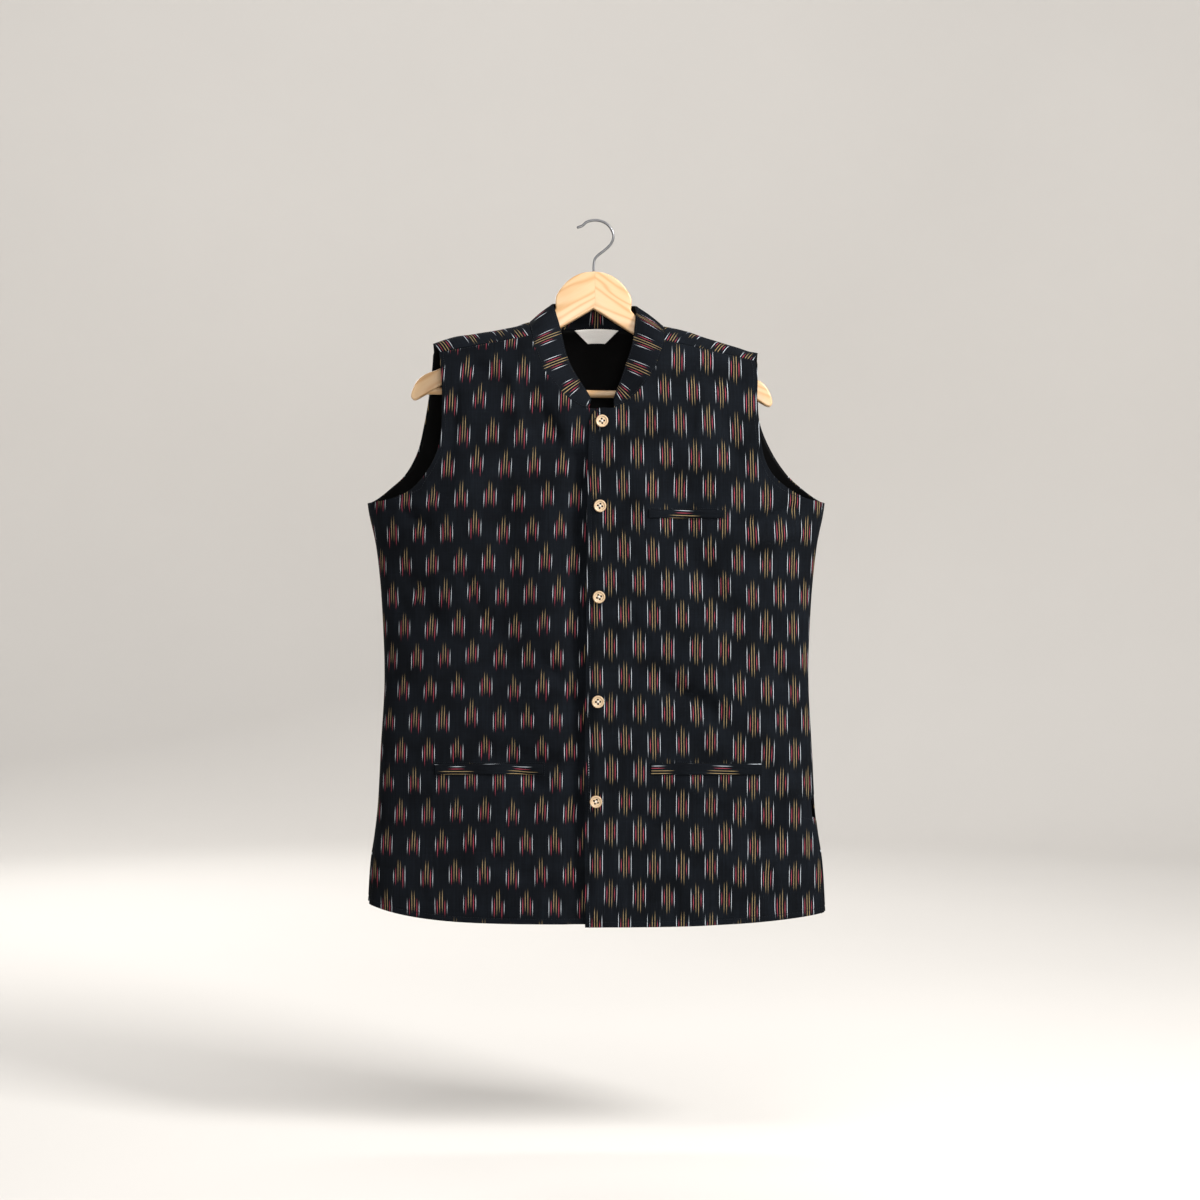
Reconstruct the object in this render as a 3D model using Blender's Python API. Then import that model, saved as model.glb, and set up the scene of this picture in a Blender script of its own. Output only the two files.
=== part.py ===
"""A sleeveless stand-collar jacket in ikat cotton, hanging on a wooden hanger with a wire hook.

Sizes are in millimetres and are turned into metres where a mesh is made. +Z is up, the jacket faces
-Y, and the origin is the underside of the hook's apex, where a rail would carry it. "Left" and
"right" in the names are the wearer's, so a left piece lies at +X.

The cloth is one hollow form, the skin: a flattened tube that is closed along the shoulder ridge.
Every panel is a wall on that skin, cut along its own edges.
"""

import math
from collections import namedtuple

import bmesh
import bpy
from mathutils import Matrix, Vector
from mathutils.bvhtree import BVHTree

MM = 0.001

# Cloth and seams
WALL = 2.0
LINING_WALL = 1.0
COLLAR_WALL = 2.6
WELT_WALL = 1.6
LABEL_WALL = 1.0
SEAM_GAP = 0.3
SEAT_GAP = 0.35
WELT_SEAT_GAP = 0.7
NECK_SEAM = 0.45

# The hollow form
SECTION_POWER = 2.5
SHOULDER_DROP = 110.0
UNDERARM_Z = -344.0
VENT_TOP_Z = -724.0
VENT_OPEN = 3.2
FRONT, BACK = -1, 1

# Grid of each panel
FRONT_COLUMNS = 16
BODY_ROWS = 15
BACK_SIDE_COLUMNS = 7
BACK_BODY_ROWS = 15
COLLAR_ROWS = 4

# Lap of the left front over the right one
LAP_UNDER_X = 20.5
LAP_SINK = WALL + SEAM_GAP + 0.35
LAP_SINK_FROM_X = -42.0
LAP_SINK_TO_X = -18.0

# Hanger, symmetric about its own axis and tipped about the hook
HANGER_AXIS_X = -1.7
HANGER_TILT = math.radians(1.1)
HANGER_HALF_THICKNESS = 6.5
HANGER_EDGE_ROUND = 2.5
BAR_RADIUS = 4.6
BAR_SOCKET_LENGTH = 35.0
BAR_CENTRE_Z = -210.5
BAR_HALF_LENGTH = 209.0
WIRE_RADIUS = 1.5
STEM_BOTTOM_Z = -82.0
BORE_CLEARANCE = 0.35

# Half width and depths of the tube at each height
Girth = namedtuple("Girth", "z half_width front back")
GIRTH = (
    Girth(-870, 281.0, 49, 45),
    Girth(-780, 275.5, 47, 43),
    Girth(-720, 267.0, 45, 41),
    Girth(-650, 263.0, 44, 40),
    Girth(-560, 258.5, 45, 40),
    Girth(-470, 261.5, 48, 41),
    Girth(-400, 268.0, 51, 43),
    Girth(-341, 278.5, 53, 45),
    Girth(-250, 279.0, 52, 46),
    Girth(-120, 279.0, 48, 45),
)

# Top line of the shoulders; between the neck points it only shapes the neckline
Ridge = namedtuple("Ridge", "x z")
RIDGE = (
    Ridge(-285, -166),
    Ridge(-199.5, -149.4),
    Ridge(-172.6, -142.1),
    Ridge(-133.6, -135.0),
    Ridge(-99.4, -128.6),
    Ridge(-81.5, -123.0),
    Ridge(-40, -120.3),
    Ridge(0, -119.5),
    Ridge(40, -121.0),
    Ridge(81.5, -128),
    Ridge(112.8, -135.3),
    Ridge(139.7, -144.0),
    Ridge(171.4, -153.8),
    Ridge(197.0, -160.4),
    Ridge(285, -183),
)

# Neckline and top edge of the collar, from the right front end round the back to the left front end
Neck = namedtuple("Neck", "x z side top_x top_y top_z")
NECK = (
    Neck(-9.5, -231.8, FRONT, -6.0, -41.0, -220.5),
    Neck(-17.0, -230.3, FRONT, -9.0, -39.5, -214.0),
    Neck(-31.0, -221.5, FRONT, -15.5, -37.0, -204.0),
    Neck(-46.0, -207.0, FRONT, -23.0, -34.0, -192.0),
    Neck(-58.0, -192.0, FRONT, -30.5, -30.0, -178.0),
    Neck(-67.0, -176.0, FRONT, -36.5, -25.5, -162.0),
    Neck(-72.5, -162.0, FRONT, -40.0, -21.0, -147.0),
    Neck(-76.2, -150.0, FRONT, -43.0, -17.0, -133.5),
    Neck(-78.0, -141.5, FRONT, -46.0, -13.5, -122.5),
    Neck(-80.5, -131.5, FRONT, -50.0, -9.5, -110.5),
    Neck(-81.5, -123.0, BACK, -53.5, -1.0, -101.0),
    Neck(-79.0, -126.0, BACK, -52.5, 6.0, -99.0),
    Neck(-72.0, -128.5, BACK, -48.5, 11.5, -99.0),
    Neck(-58.0, -129.6, BACK, -40.5, 15.5, -100.0),
    Neck(-40.0, -129.4, BACK, -28.5, 17.5, -101.0),
    Neck(-20.0, -128.9, BACK, -14.5, 18.0, -101.6),
    Neck(0.0, -128.8, BACK, 0.0, 18.0, -101.8),
    Neck(20.0, -129.4, BACK, 14.5, 18.0, -101.8),
    Neck(40.0, -130.6, BACK, 28.0, 17.5, -101.6),
    Neck(58.0, -131.8, BACK, 38.5, 15.5, -101.3),
    Neck(71.5, -132.2, BACK, 45.0, 11.5, -101.3),
    Neck(79.0, -131.0, BACK, 48.0, 6.0, -101.8),
    Neck(81.5, -128.0, BACK, 48.5, -1.0, -104.0),
    Neck(82.5, -137.5, FRONT, 48.0, -9.5, -115.0),
    Neck(82.2, -147.5, FRONT, 46.5, -13.5, -127.0),
    Neck(79.5, -157.5, FRONT, 45.0, -17.0, -140.0),
    Neck(76.0, -168.5, FRONT, 42.3, -21.0, -153.0),
    Neck(71.0, -181.5, FRONT, 38.3, -25.0, -166.5),
    Neck(61.5, -196.0, FRONT, 33.5, -29.5, -181.0),
    Neck(49.0, -212.5, FRONT, 28.5, -34.0, -196.5),
    Neck(34.0, -225.0, FRONT, 24.0, -38.0, -208.5),
    Neck(20.5, -231.5, FRONT, 20.8, -41.0, -218.0),
)
SEAM_ROW_RIGHT = 8
SEAM_ROW_LEFT = 24
RIDGE_ROW_RIGHT = 10
RIDGE_ROW_LEFT = 22
# Neck rows between which the back's rows run from armhole to armhole, and the one at its middle
FIRST_FULL_ROW = 13
LAST_FULL_ROW = 19
CENTRE_BACK_ROW = 16

# Armhole edges of the fronts: one row for each neck row from the shoulder seam down, then the rest
Edge = namedtuple("Edge", "x z")
ARMHOLE_RIGHT = (
    Edge(-190.5, -161.5),
    Edge(-189.0, -174.0),
    Edge(-187.5, -188.0),
    Edge(-186.3, -203.0),
    Edge(-185.8, -218.0),
    Edge(-185.7, -233.0),
    Edge(-186.0, -248.0),
    Edge(-187.0, -263.0),
    Edge(-190.0, -279.0),
    Edge(-197.0, -296.0),
    Edge(-208.0, -313.0),
    Edge(-222.0, -328.0),
    Edge(-243.0, -338.0),
    Edge(-264.0, -342.6),
)
ARMHOLE_LEFT = (
    Edge(192.0, -171.5),
    Edge(194.2, -182.0),
    Edge(194.6, -195.0),
    Edge(194.0, -209.0),
    Edge(193.4, -223.0),
    Edge(194.0, -238.0),
    Edge(196.0, -256.0),
    Edge(198.4, -275.0),
    Edge(202.5, -293.0),
    Edge(211.0, -309.5),
    Edge(225.0, -323.0),
    Edge(248.0, -337.0),
    Edge(266.0, -341.8),
)
# Front edges, for the rows from the end of the neckline to the underarm row
FRONT_EDGE_RIGHT = (
    Edge(LAP_UNDER_X, -234.5),
    Edge(LAP_UNDER_X, -249.0),
    Edge(LAP_UNDER_X, -266.0),
    Edge(LAP_UNDER_X, -284.0),
    Edge(LAP_UNDER_X, -303.0),
)
FRONT_EDGE_LEFT = (
    Edge(4.0, -232.0),
    Edge(-4.8, -239.0),
    Edge(-8.6, -251.0),
    Edge(-9.6, -269.0),
    Edge(-10.2, -290.0),
)
# The left front's edge below, by height
FrontEdge = namedtuple("FrontEdge", "z x")
LAP_EDGE = (
    FrontEdge(-855, -13.6),
    FrontEdge(-700, -14.8),
    FrontEdge(-580, -13.6),
    FrontEdge(-460, -12.4),
    FrontEdge(-340, -11.2),
    FrontEdge(-240, -9.0),
)
# Back armholes, by height
BackArmhole = namedtuple("BackArmhole", "z right left")
BACK_ARMHOLE = (
    BackArmhole(UNDERARM_Z, -278.5, 278.5),
    BackArmhole(-337.0, -268.0, 268.0),
    BackArmhole(-325.0, -254.0, 253.0),
    BackArmhole(-308.0, -236.5, 235.5),
    BackArmhole(-280.0, -221.5, 217.0),
    BackArmhole(-245.0, -213.0, 202.5),
    BackArmhole(-211.0, -207.0, 199.0),
    BackArmhole(-178.0, -202.5, 198.0),
    BackArmhole(-150.0, -199.5, 197.0),
)
# How far down the armhole each row of the back ends
BACK_ARMHOLE_PARTS = (0.17, 0.34, 0.51, 0.67, 0.80, 0.895, 0.96, 1.0)
RIDGE_TIP_RIGHT = -199.5
RIDGE_TIP_LEFT = 197.0

# Hem heights at the front edge and at the side seam, and how late the corner lifts
Hem = namedtuple("Hem", "edge side bow")
HEM_RIGHT = Hem(-850.0, -830.5, 4.8)
HEM_LEFT = Hem(-853.6, -840.5, 3.0)
HEM_BACK_MIDDLE = -848.0
HEM_BACK_RIGHT = -829.0
HEM_BACK_LEFT = -841.5
# Rows of the back that its lining leaves out over the shoulders and above the hem
LINING_FIRST_ROW = 3
LINING_HEM_RISE_ROWS = 1

# Largest folds: soft troughs (depth below 0) and ridges (above 0) along straight lines
Fold = namedtuple("Fold", "x0 z0 x1 z1 width depth")
FRONT_FOLDS = (
    Fold(-110, -300, -108, -575, 30, -5.5),
    Fold(-47, -310, -49, -530, 24, 3.5),
    Fold(-78, -190, -50, -296, 20, -3.5),
    Fold(-184, -368, -146, -325, 18, 3.0),
    Fold(-100, -655, -22, -715, 16, -2.5),
    Fold(-250, -702, -184, -750, 20, -2.5),
    Fold(84, -198, 48, -254, 19, -3.5),
    Fold(95, -190, 176, -200, 16, -3.0),
    Fold(98, -312, 116, -436, 28, -5.0),
    Fold(120, -445, 154, -492, 22, -3.0),
    Fold(47, -300, 63, -368, 20, 3.0),
    Fold(60, -612, 130, -642, 18, -2.5),
    Fold(172, -732, 250, -756, 20, -3.0),
    Fold(147, -790, 150, -850, 22, -3.0),
)
BACK_FOLDS = (
    Fold(-118, -270, -96, -520, 32, -4.5),
    Fold(110, -280, 92, -560, 30, -4.5),
    Fold(-30, -250, -22, -470, 26, 3.0),
    Fold(40, -540, 110, -690, 24, -3.0),
    Fold(-200, -400, -150, -340, 22, 3.0),
    Fold(-210, -720, -120, -790, 24, -3.0),
    Fold(60, -780, 64, -850, 22, -2.5),
)

# Pocket welts: x range, height of the upper edge at each end, and width
Welt = namedtuple("Welt", "name x0 z0 x1 z1 width")
WELTS = (
    Welt("welt_breast", 61.8, -353.6, 152.8, -353.9, 10.0),
    Welt("welt_left", 65.4, -657.8, 198.3, -658.6, 13.6),
    Welt("welt_right", -194.5, -659.0, -64.0, -659.0, 12.4),
)
WELT_COLUMNS = 16
WELT_ROWS = 2

Button = namedtuple("Button", "x z")
BUTTONS = (
    Button(6.7, -247.8),
    Button(4.3, -349.4),
    Button(3.1, -458.2),
    Button(1.9, -583.7),
    Button(-0.5, -703.3),
)
# Turned outline of a button: distance from its axis and height above its back
Turned = namedtuple("Turned", "radius height")
BUTTON_PROFILE = (
    Turned(0.0, 0.0),
    Turned(5.6, 0.0),
    Turned(7.3, 1.0),
    Turned(7.5, 2.1),
    Turned(6.7, 2.9),
    Turned(5.2, 2.2),
    Turned(0.0, 2.0),
)
BUTTON_SIDES = 20

# Label: half width at its upper and lower edge, and its height below the neck seam
LABEL_TOP_HALF = 27.0
LABEL_BOTTOM_HALF = 10.5
LABEL_BELOW_NECK = 0.8
LABEL_HEIGHT = 16.2
LINING_BELOW_NECK = 3.2
LABEL_COLUMNS = 6

# Hanger outline on one side of its axis, from the head's top down to the notch, in its own frame
Outline = namedtuple("Outline", "u z")
HANGER_OUTLINE = (
    Outline(0.0, -61.6),
    Outline(12.0, -63.1),
    Outline(23.0, -67.4),
    Outline(32.8, -74.5),
    Outline(39.9, -82.6),
    Outline(45.3, -91.5),
    Outline(46.4, -98.0),
    Outline(46.2, -103.0),
    Outline(46.0, -108.0),
    Outline(51.0, -114.0),
    Outline(64.0, -124.9),
    Outline(84.0, -130.9),
    Outline(189.4, -185.3),
    Outline(203.0, -190.6),
    Outline(210.6, -196.2),
    Outline(216.2, -204.2),
    Outline(219.6, -213.2),
    Outline(220.2, -219.2),
    Outline(218.4, -222.8),
    Outline(214.5, -222.6),
    Outline(203.6, -216.2),
    Outline(184.2, -204.6),
    Outline(44.0, -134.0),
    Outline(0.0, -107.0),
)

# Centre line of the hook's wire, from its tip to where the stem enters the head
HOOK_LINE = (
    Outline(-22.7, -7.3),
    Outline(-17.3, -5.2),
    Outline(-11.9, -0.7),
    Outline(-2.6, 1.5),
    Outline(6.0, 0.3),
    Outline(13.0, -3.4),
    Outline(18.6, -10.4),
    Outline(20.6, -18.2),
    Outline(17.6, -27.2),
    Outline(9.4, -35.4),
    Outline(0.8, -42.2),
    Outline(-2.4, -46.6),
    Outline(-3.4, -54.0),
    Outline(-3.4, -63.0),
    Outline(-3.4, STEM_BOTTOM_Z),
)
HOOK_STEPS = 4

# Colour, roughness and metallic value of each material
Finish = namedtuple("Finish", "colour roughness metallic")
IKAT = Finish((0.013, 0.014, 0.018, 1.0), 0.9, 0.0)
LINING = Finish((0.004, 0.004, 0.005, 1.0), 0.45, 0.0)
COCONUT = Finish((0.42, 0.30, 0.17, 1.0), 0.45, 0.0)
LABEL_WHITE = Finish((0.75, 0.74, 0.71, 1.0), 0.7, 0.0)
PINE = Finish((0.62, 0.45, 0.25, 1.0), 0.4, 0.0)
STEEL = Finish((0.60, 0.60, 0.58, 1.0), 0.3, 1.0)


# ---------------------------------------------------------------- small helpers


def smooth_step(start, end, at):
    """0 before start, 1 after end, with a soft change between."""
    part = min(1.0, max(0.0, (at - start) / (end - start)))
    return part * part * (3.0 - 2.0 * part)


def signed_power(value, power):
    return math.copysign(abs(value) ** power, value)


def lookup(table, column, at):
    """Smooth curve through one column of a table, whose first column rises from row to row."""
    places = [row[0] for row in table]
    values = [getattr(row, column) for row in table]
    at = min(max(at, places[0]), places[-1])
    span = 0
    while span < len(places) - 2 and at > places[span + 1]:
        span += 1

    def slope(row):
        low = max(row - 1, 0)
        high = min(row + 1, len(places) - 1)
        return (values[high] - values[low]) / (places[high] - places[low])

    length = places[span + 1] - places[span]
    part = (at - places[span]) / length
    square, cube = part * part, part * part * part
    return (
        (2 * cube - 3 * square + 1) * values[span]
        + (cube - 2 * square + part) * length * slope(span)
        + (3 * square - 2 * cube) * values[span + 1]
        + (cube - square) * length * slope(span + 1)
    )


def rounded_line(points, steps):
    """Catmull-Rom curve through 2-D points, with a number of steps between neighbours."""
    line = []
    for row in range(len(points) - 1):
        before = Vector(points[max(row - 1, 0)])
        start, end = Vector(points[row]), Vector(points[row + 1])
        after = Vector(points[min(row + 2, len(points) - 1)])
        for step in range(steps):
            part = step / steps
            line.append(
                0.5
                * (
                    2 * start
                    + (end - before) * part
                    + (2 * before - 5 * start + 4 * end - after) * part**2
                    + (3 * start - before - 3 * end + after) * part**3
                )
            )
    line.append(Vector(points[-1]))
    return line


# ---------------------------------------------------------------- the skin


def fold_height(folds, x, z):
    """How far the folds lift the cloth at a place; each fades along and across its line."""
    total = 0.0
    for fold in folds:
        run = Vector((fold.x1 - fold.x0, fold.z1 - fold.z0))
        offset = Vector((x - fold.x0, z - fold.z0))
        along = max(-0.35, min(1.35, offset.dot(run) / run.length_squared))
        away = (offset - run * max(0.0, min(1.0, along))).length
        fade = smooth_step(-0.35, 0.2, along) * smooth_step(1.35, 0.8, along)
        total += fold.depth * fade * math.exp(-((away / fold.width) ** 2))
    return total


def form_parts(side, x, z):
    """Depth, squared section value, squared shoulder value and fold height at a place."""
    half_width = lookup(GIRTH, "half_width", z)
    depth = lookup(GIRTH, "front" if side == FRONT else "back", z)
    across = abs(x) / half_width
    section = signed_power(1.0 - across**SECTION_POWER, 2.0 / SECTION_POWER)
    below = (lookup(RIDGE, "z", x) - z) / SHOULDER_DROP
    shoulder = 1.0 - (1.0 - min(below, 1.0)) ** 2
    folds = FRONT_FOLDS if side == FRONT else BACK_FOLDS
    calm = max(0.0, 1.0 - across**8) * max(0.0, min(1.0, shoulder)) ** 2
    return depth, section, shoulder, fold_height(folds, x, z) * calm


def opening_of(z):
    """How far each panel stands from the side seam's plane: half a seam gap, more at the vents."""
    seam = 0.5 * SEAM_GAP * smooth_step(-310.0, UNDERARM_Z, z)
    return seam + VENT_OPEN * smooth_step(VENT_TOP_Z, HEM_BACK_MIDDLE, z) ** 1.5


def skin_point(side, x, z):
    depth, section, shoulder, fold = form_parts(side, x, z)
    out = depth * math.sqrt(max(0.0, section * shoulder)) + fold
    return Vector((x, side * (out + opening_of(z)), z))


def skin_normal(side, point):
    """Outward normal, from the slope of a function that is 0 on the skin and rises outwards."""

    def height(x, y, z):
        depth, section, shoulder, fold = form_parts(side, x, z)
        out = (side * y - opening_of(z) - fold) / depth
        return signed_power(out, 2.0) - section * shoulder

    step = 0.4
    x, y, z = point
    slope = Vector(
        (
            height(x + step, y, z) - height(x - step, y, z),
            height(x, y + step, z) - height(x, y - step, z),
            height(x, y, z + step) - height(x, y, z - step),
        )
    )
    return slope.normalized()


class Place:
    """One point of a panel: where it is on the skin, and which way is out."""

    def __init__(self, side, x, z, lift=0.0):
        self.side, self.x, self.z = side, x, z
        on_skin = skin_point(side, x, z)
        self.normal = skin_normal(side, on_skin)
        self.point = on_skin + self.normal * lift

    def raised(self, height):
        return self.point + self.normal * height


def side_x(z):
    return lookup(GIRTH, "half_width", z)


def lap_sink(x):
    return -LAP_SINK * smooth_step(LAP_SINK_FROM_X, LAP_SINK_TO_X, x)


# ---------------------------------------------------------------- meshes


def material_of(name, finish):
    material = bpy.data.materials.new(name)
    material.use_nodes = True
    shader = material.node_tree.nodes["Principled BSDF"]
    shader.inputs["Base Color"].default_value = finish.colour
    shader.inputs["Roughness"].default_value = finish.roughness
    shader.inputs["Metallic"].default_value = finish.metallic
    return material


def object_from(name, points, faces, finish, smooth=True):
    """Object of one closed mesh, from points in millimetres."""
    mesh = bpy.data.meshes.new(name)
    mesh.from_pydata([tuple(Vector(point) * MM) for point in points], [], faces)
    made = bmesh.new()
    made.from_mesh(mesh)
    bmesh.ops.recalc_face_normals(made, faces=made.faces)
    made.to_mesh(mesh)
    made.free()
    if smooth:
        mesh.shade_smooth()
        mesh.set_sharp_from_angle(angle=math.radians(50))
    mesh.materials.append(material_of(name, finish))
    made_object = bpy.data.objects.new(name, mesh)
    bpy.context.scene.collection.objects.link(made_object)
    return made_object


def wall_object(name, outer, inner, finish):
    """Closed wall between two grids of points; a cell with a missing corner is left open."""
    points, faces = [], []
    number = {}
    for layer, grid in enumerate((outer, inner)):
        for row, line in enumerate(grid):
            for column, point in enumerate(line):
                if point is not None:
                    number[layer, row, column] = len(points)
                    points.append(point)
    rims = {}
    for row in range(len(outer) - 1):
        for column in range(len(outer[row]) - 1):
            corners = (
                (row, column),
                (row + 1, column),
                (row + 1, column + 1),
                (row, column + 1),
            )
            if any((0, *corner) not in number for corner in corners):
                continue
            a, b, c, d = (number[0, *corner] for corner in corners)
            faces += [(a, b, c), (a, c, d)]
            a, b, c, d = (number[1, *corner] for corner in corners)
            faces += [(a, c, b), (a, d, c)]
            for start, end in zip(corners, corners[1:] + corners[:1]):
                if (end, start) in rims:
                    del rims[end, start]
                else:
                    rims[start, end] = True
    for start, end in rims:
        a, b = number[0, *start], number[0, *end]
        c, d = number[1, *end], number[1, *start]
        faces += [(b, a, d), (b, d, c)]
    return object_from(name, points, faces, finish)


def panel_object(name, grid, finish, start=0.0, wall=WALL):
    """Wall on a grid of places, from a depth under the skin inwards."""
    outer = [[place and place.raised(-start) for place in line] for line in grid]
    inner = [[place and place.raised(-start - wall) for place in line] for line in grid]
    return wall_object(name, outer, inner, finish)


# ---------------------------------------------------------------- fronts


def spread(side, start_x, end_x, height_at, columns):
    """x values from one edge to the other, evenly spaced along the cloth."""
    fine = 12 * columns
    limit = side_x(height_at(0.5))
    turn_start = math.asin(max(-1.0, min(1.0, start_x / limit)))
    turn_end = math.asin(max(-1.0, min(1.0, end_x / limit)))
    xs, lengths = [], [0.0]
    last = None
    for step in range(fine + 1):
        part = step / fine
        x = limit * math.sin(turn_start + (turn_end - turn_start) * part)
        if step == 0:
            x = start_x
        if step == fine:
            x = end_x
        xs.append(x)
        share = (x - start_x) / (end_x - start_x)
        z = height_at(share)
        half = side_x(z)
        inside = max(-half, min(half, x))
        here = skin_point(side, inside, z)
        if last is not None:
            lengths.append(lengths[-1] + (here - last).length)
        last = here
    result = []
    step = 0
    for column in range(columns + 1):
        goal = lengths[-1] * column / columns
        while step < fine - 1 and lengths[step + 1] < goal:
            step += 1
        run = lengths[step + 1] - lengths[step]
        part = (goal - lengths[step]) / run if run else 0.0
        result.append(xs[step] + (xs[step + 1] - xs[step]) * min(1.0, part))
    result[0], result[-1] = start_x, end_x
    return result


def front_line(inner, outer, bow, sink):
    """One row of a front panel, from its inner edge to the armhole or the side seam."""

    def height_at(share):
        return inner.z + (outer.z - inner.z) * share**bow

    line = []
    for x in spread(FRONT, inner.x, outer.x, height_at, FRONT_COLUMNS):
        share = (x - inner.x) / (outer.x - inner.x)
        line.append(Place(FRONT, x, height_at(share), sink(x)))
    return line


def front_grid(neck_rows, armhole, front_edge, hem, edge_x, side, sink):
    """Rows from the shoulder seam down to the hem."""
    inners = [Edge(row.x, row.z) for row in neck_rows] + list(front_edge)
    outers = list(armhole)
    inners[0] = Edge(inners[0].x, inners[0].z - 0.5 * SEAM_GAP)
    outers[0] = Edge(outers[0].x, outers[0].z - 0.5 * SEAM_GAP)
    rows = [front_line(a, b, 1.0, sink) for a, b in zip(inners, outers)]
    top_z = front_edge[-1].z - (front_edge[-2].z - front_edge[-1].z)
    for step in range(BODY_ROWS + 1):
        part = step / BODY_ROWS
        inner_z = top_z + (hem.edge - top_z) * part
        outer_z = UNDERARM_Z + (hem.side - UNDERARM_Z) * part
        inner = Edge(edge_x(inner_z), inner_z)
        outer = Edge(side * side_x(outer_z), outer_z)
        bow = 1.0 + (hem.bow - 1.0) * part**3
        rows.append(front_line(inner, outer, bow, sink))
    return rows


def make_fronts():
    right = front_grid(
        NECK[SEAM_ROW_RIGHT::-1],
        ARMHOLE_RIGHT,
        FRONT_EDGE_RIGHT,
        HEM_RIGHT,
        lambda z: LAP_UNDER_X,
        -1,
        lap_sink,
    )
    left = front_grid(
        NECK[SEAM_ROW_LEFT:],
        ARMHOLE_LEFT,
        FRONT_EDGE_LEFT,
        HEM_LEFT,
        lambda z: lookup(LAP_EDGE, "x", z),
        1,
        lambda x: 0.0,
    )
    panel_object("front_right", right, IKAT)
    return panel_object("front_left", left, IKAT)


# ---------------------------------------------------------------- back


def shoulder_angle(side, x, z):
    """Place round the shoulder ridge: 0 on it, negative in front, positive behind."""
    below = max(0.0, min(1.0, (lookup(RIDGE, "z", x) - z) / SHOULDER_DROP))
    return side * math.acos(1.0 - below)


def place_at_angle(x, angle):
    side = FRONT if angle < 0.0 else BACK
    z = lookup(RIDGE, "z", x) - SHOULDER_DROP * (1.0 - math.cos(angle))
    return Place(side, x, z)


def shoulder_rows(seam_row, ridge_row, last_row, seam_tip, ridge_tip_x):
    """Rows from the forward seam over the ridge to the first full row, from armhole to neck."""
    step = 1 if last_row > seam_row else -1
    neck_rows = [NECK[i] for i in range(seam_row, last_row + step, step)]
    ridge_at = abs(ridge_row - seam_row)
    behind = len(neck_rows) - 1 - ridge_at
    last_angle = shoulder_angle(BACK, neck_rows[-1].x, neck_rows[-1].z)

    def seam_z(x):
        share = (x - seam_tip.x) / (neck_rows[0].x - seam_tip.x)
        return seam_tip.z + (neck_rows[0].z - seam_tip.z) * share + 0.5 * SEAM_GAP

    def row_angle(number, x):
        if number > ridge_at:
            return last_angle * (number - ridge_at) / behind
        return shoulder_angle(FRONT, x, seam_z(x)) * (1.0 - number / ridge_at)

    rows = []
    for number, neck in enumerate(neck_rows):
        share = min(1.0, number / ridge_at)
        tip_x = seam_tip.x + (ridge_tip_x - seam_tip.x) * math.sin(share * math.pi / 2)
        neck_angle = shoulder_angle(neck.side, neck.x, neck.z)
        line = []
        for column in range(BACK_SIDE_COLUMNS + 1):
            part = column / BACK_SIDE_COLUMNS
            x = tip_x + (neck.x - tip_x) * part
            angle = row_angle(number, x)
            if number:
                angle += (neck_angle - row_angle(number, neck.x)) * part**3
            line.append(place_at_angle(x, angle))
        rows.append(line)
    return rows


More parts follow.
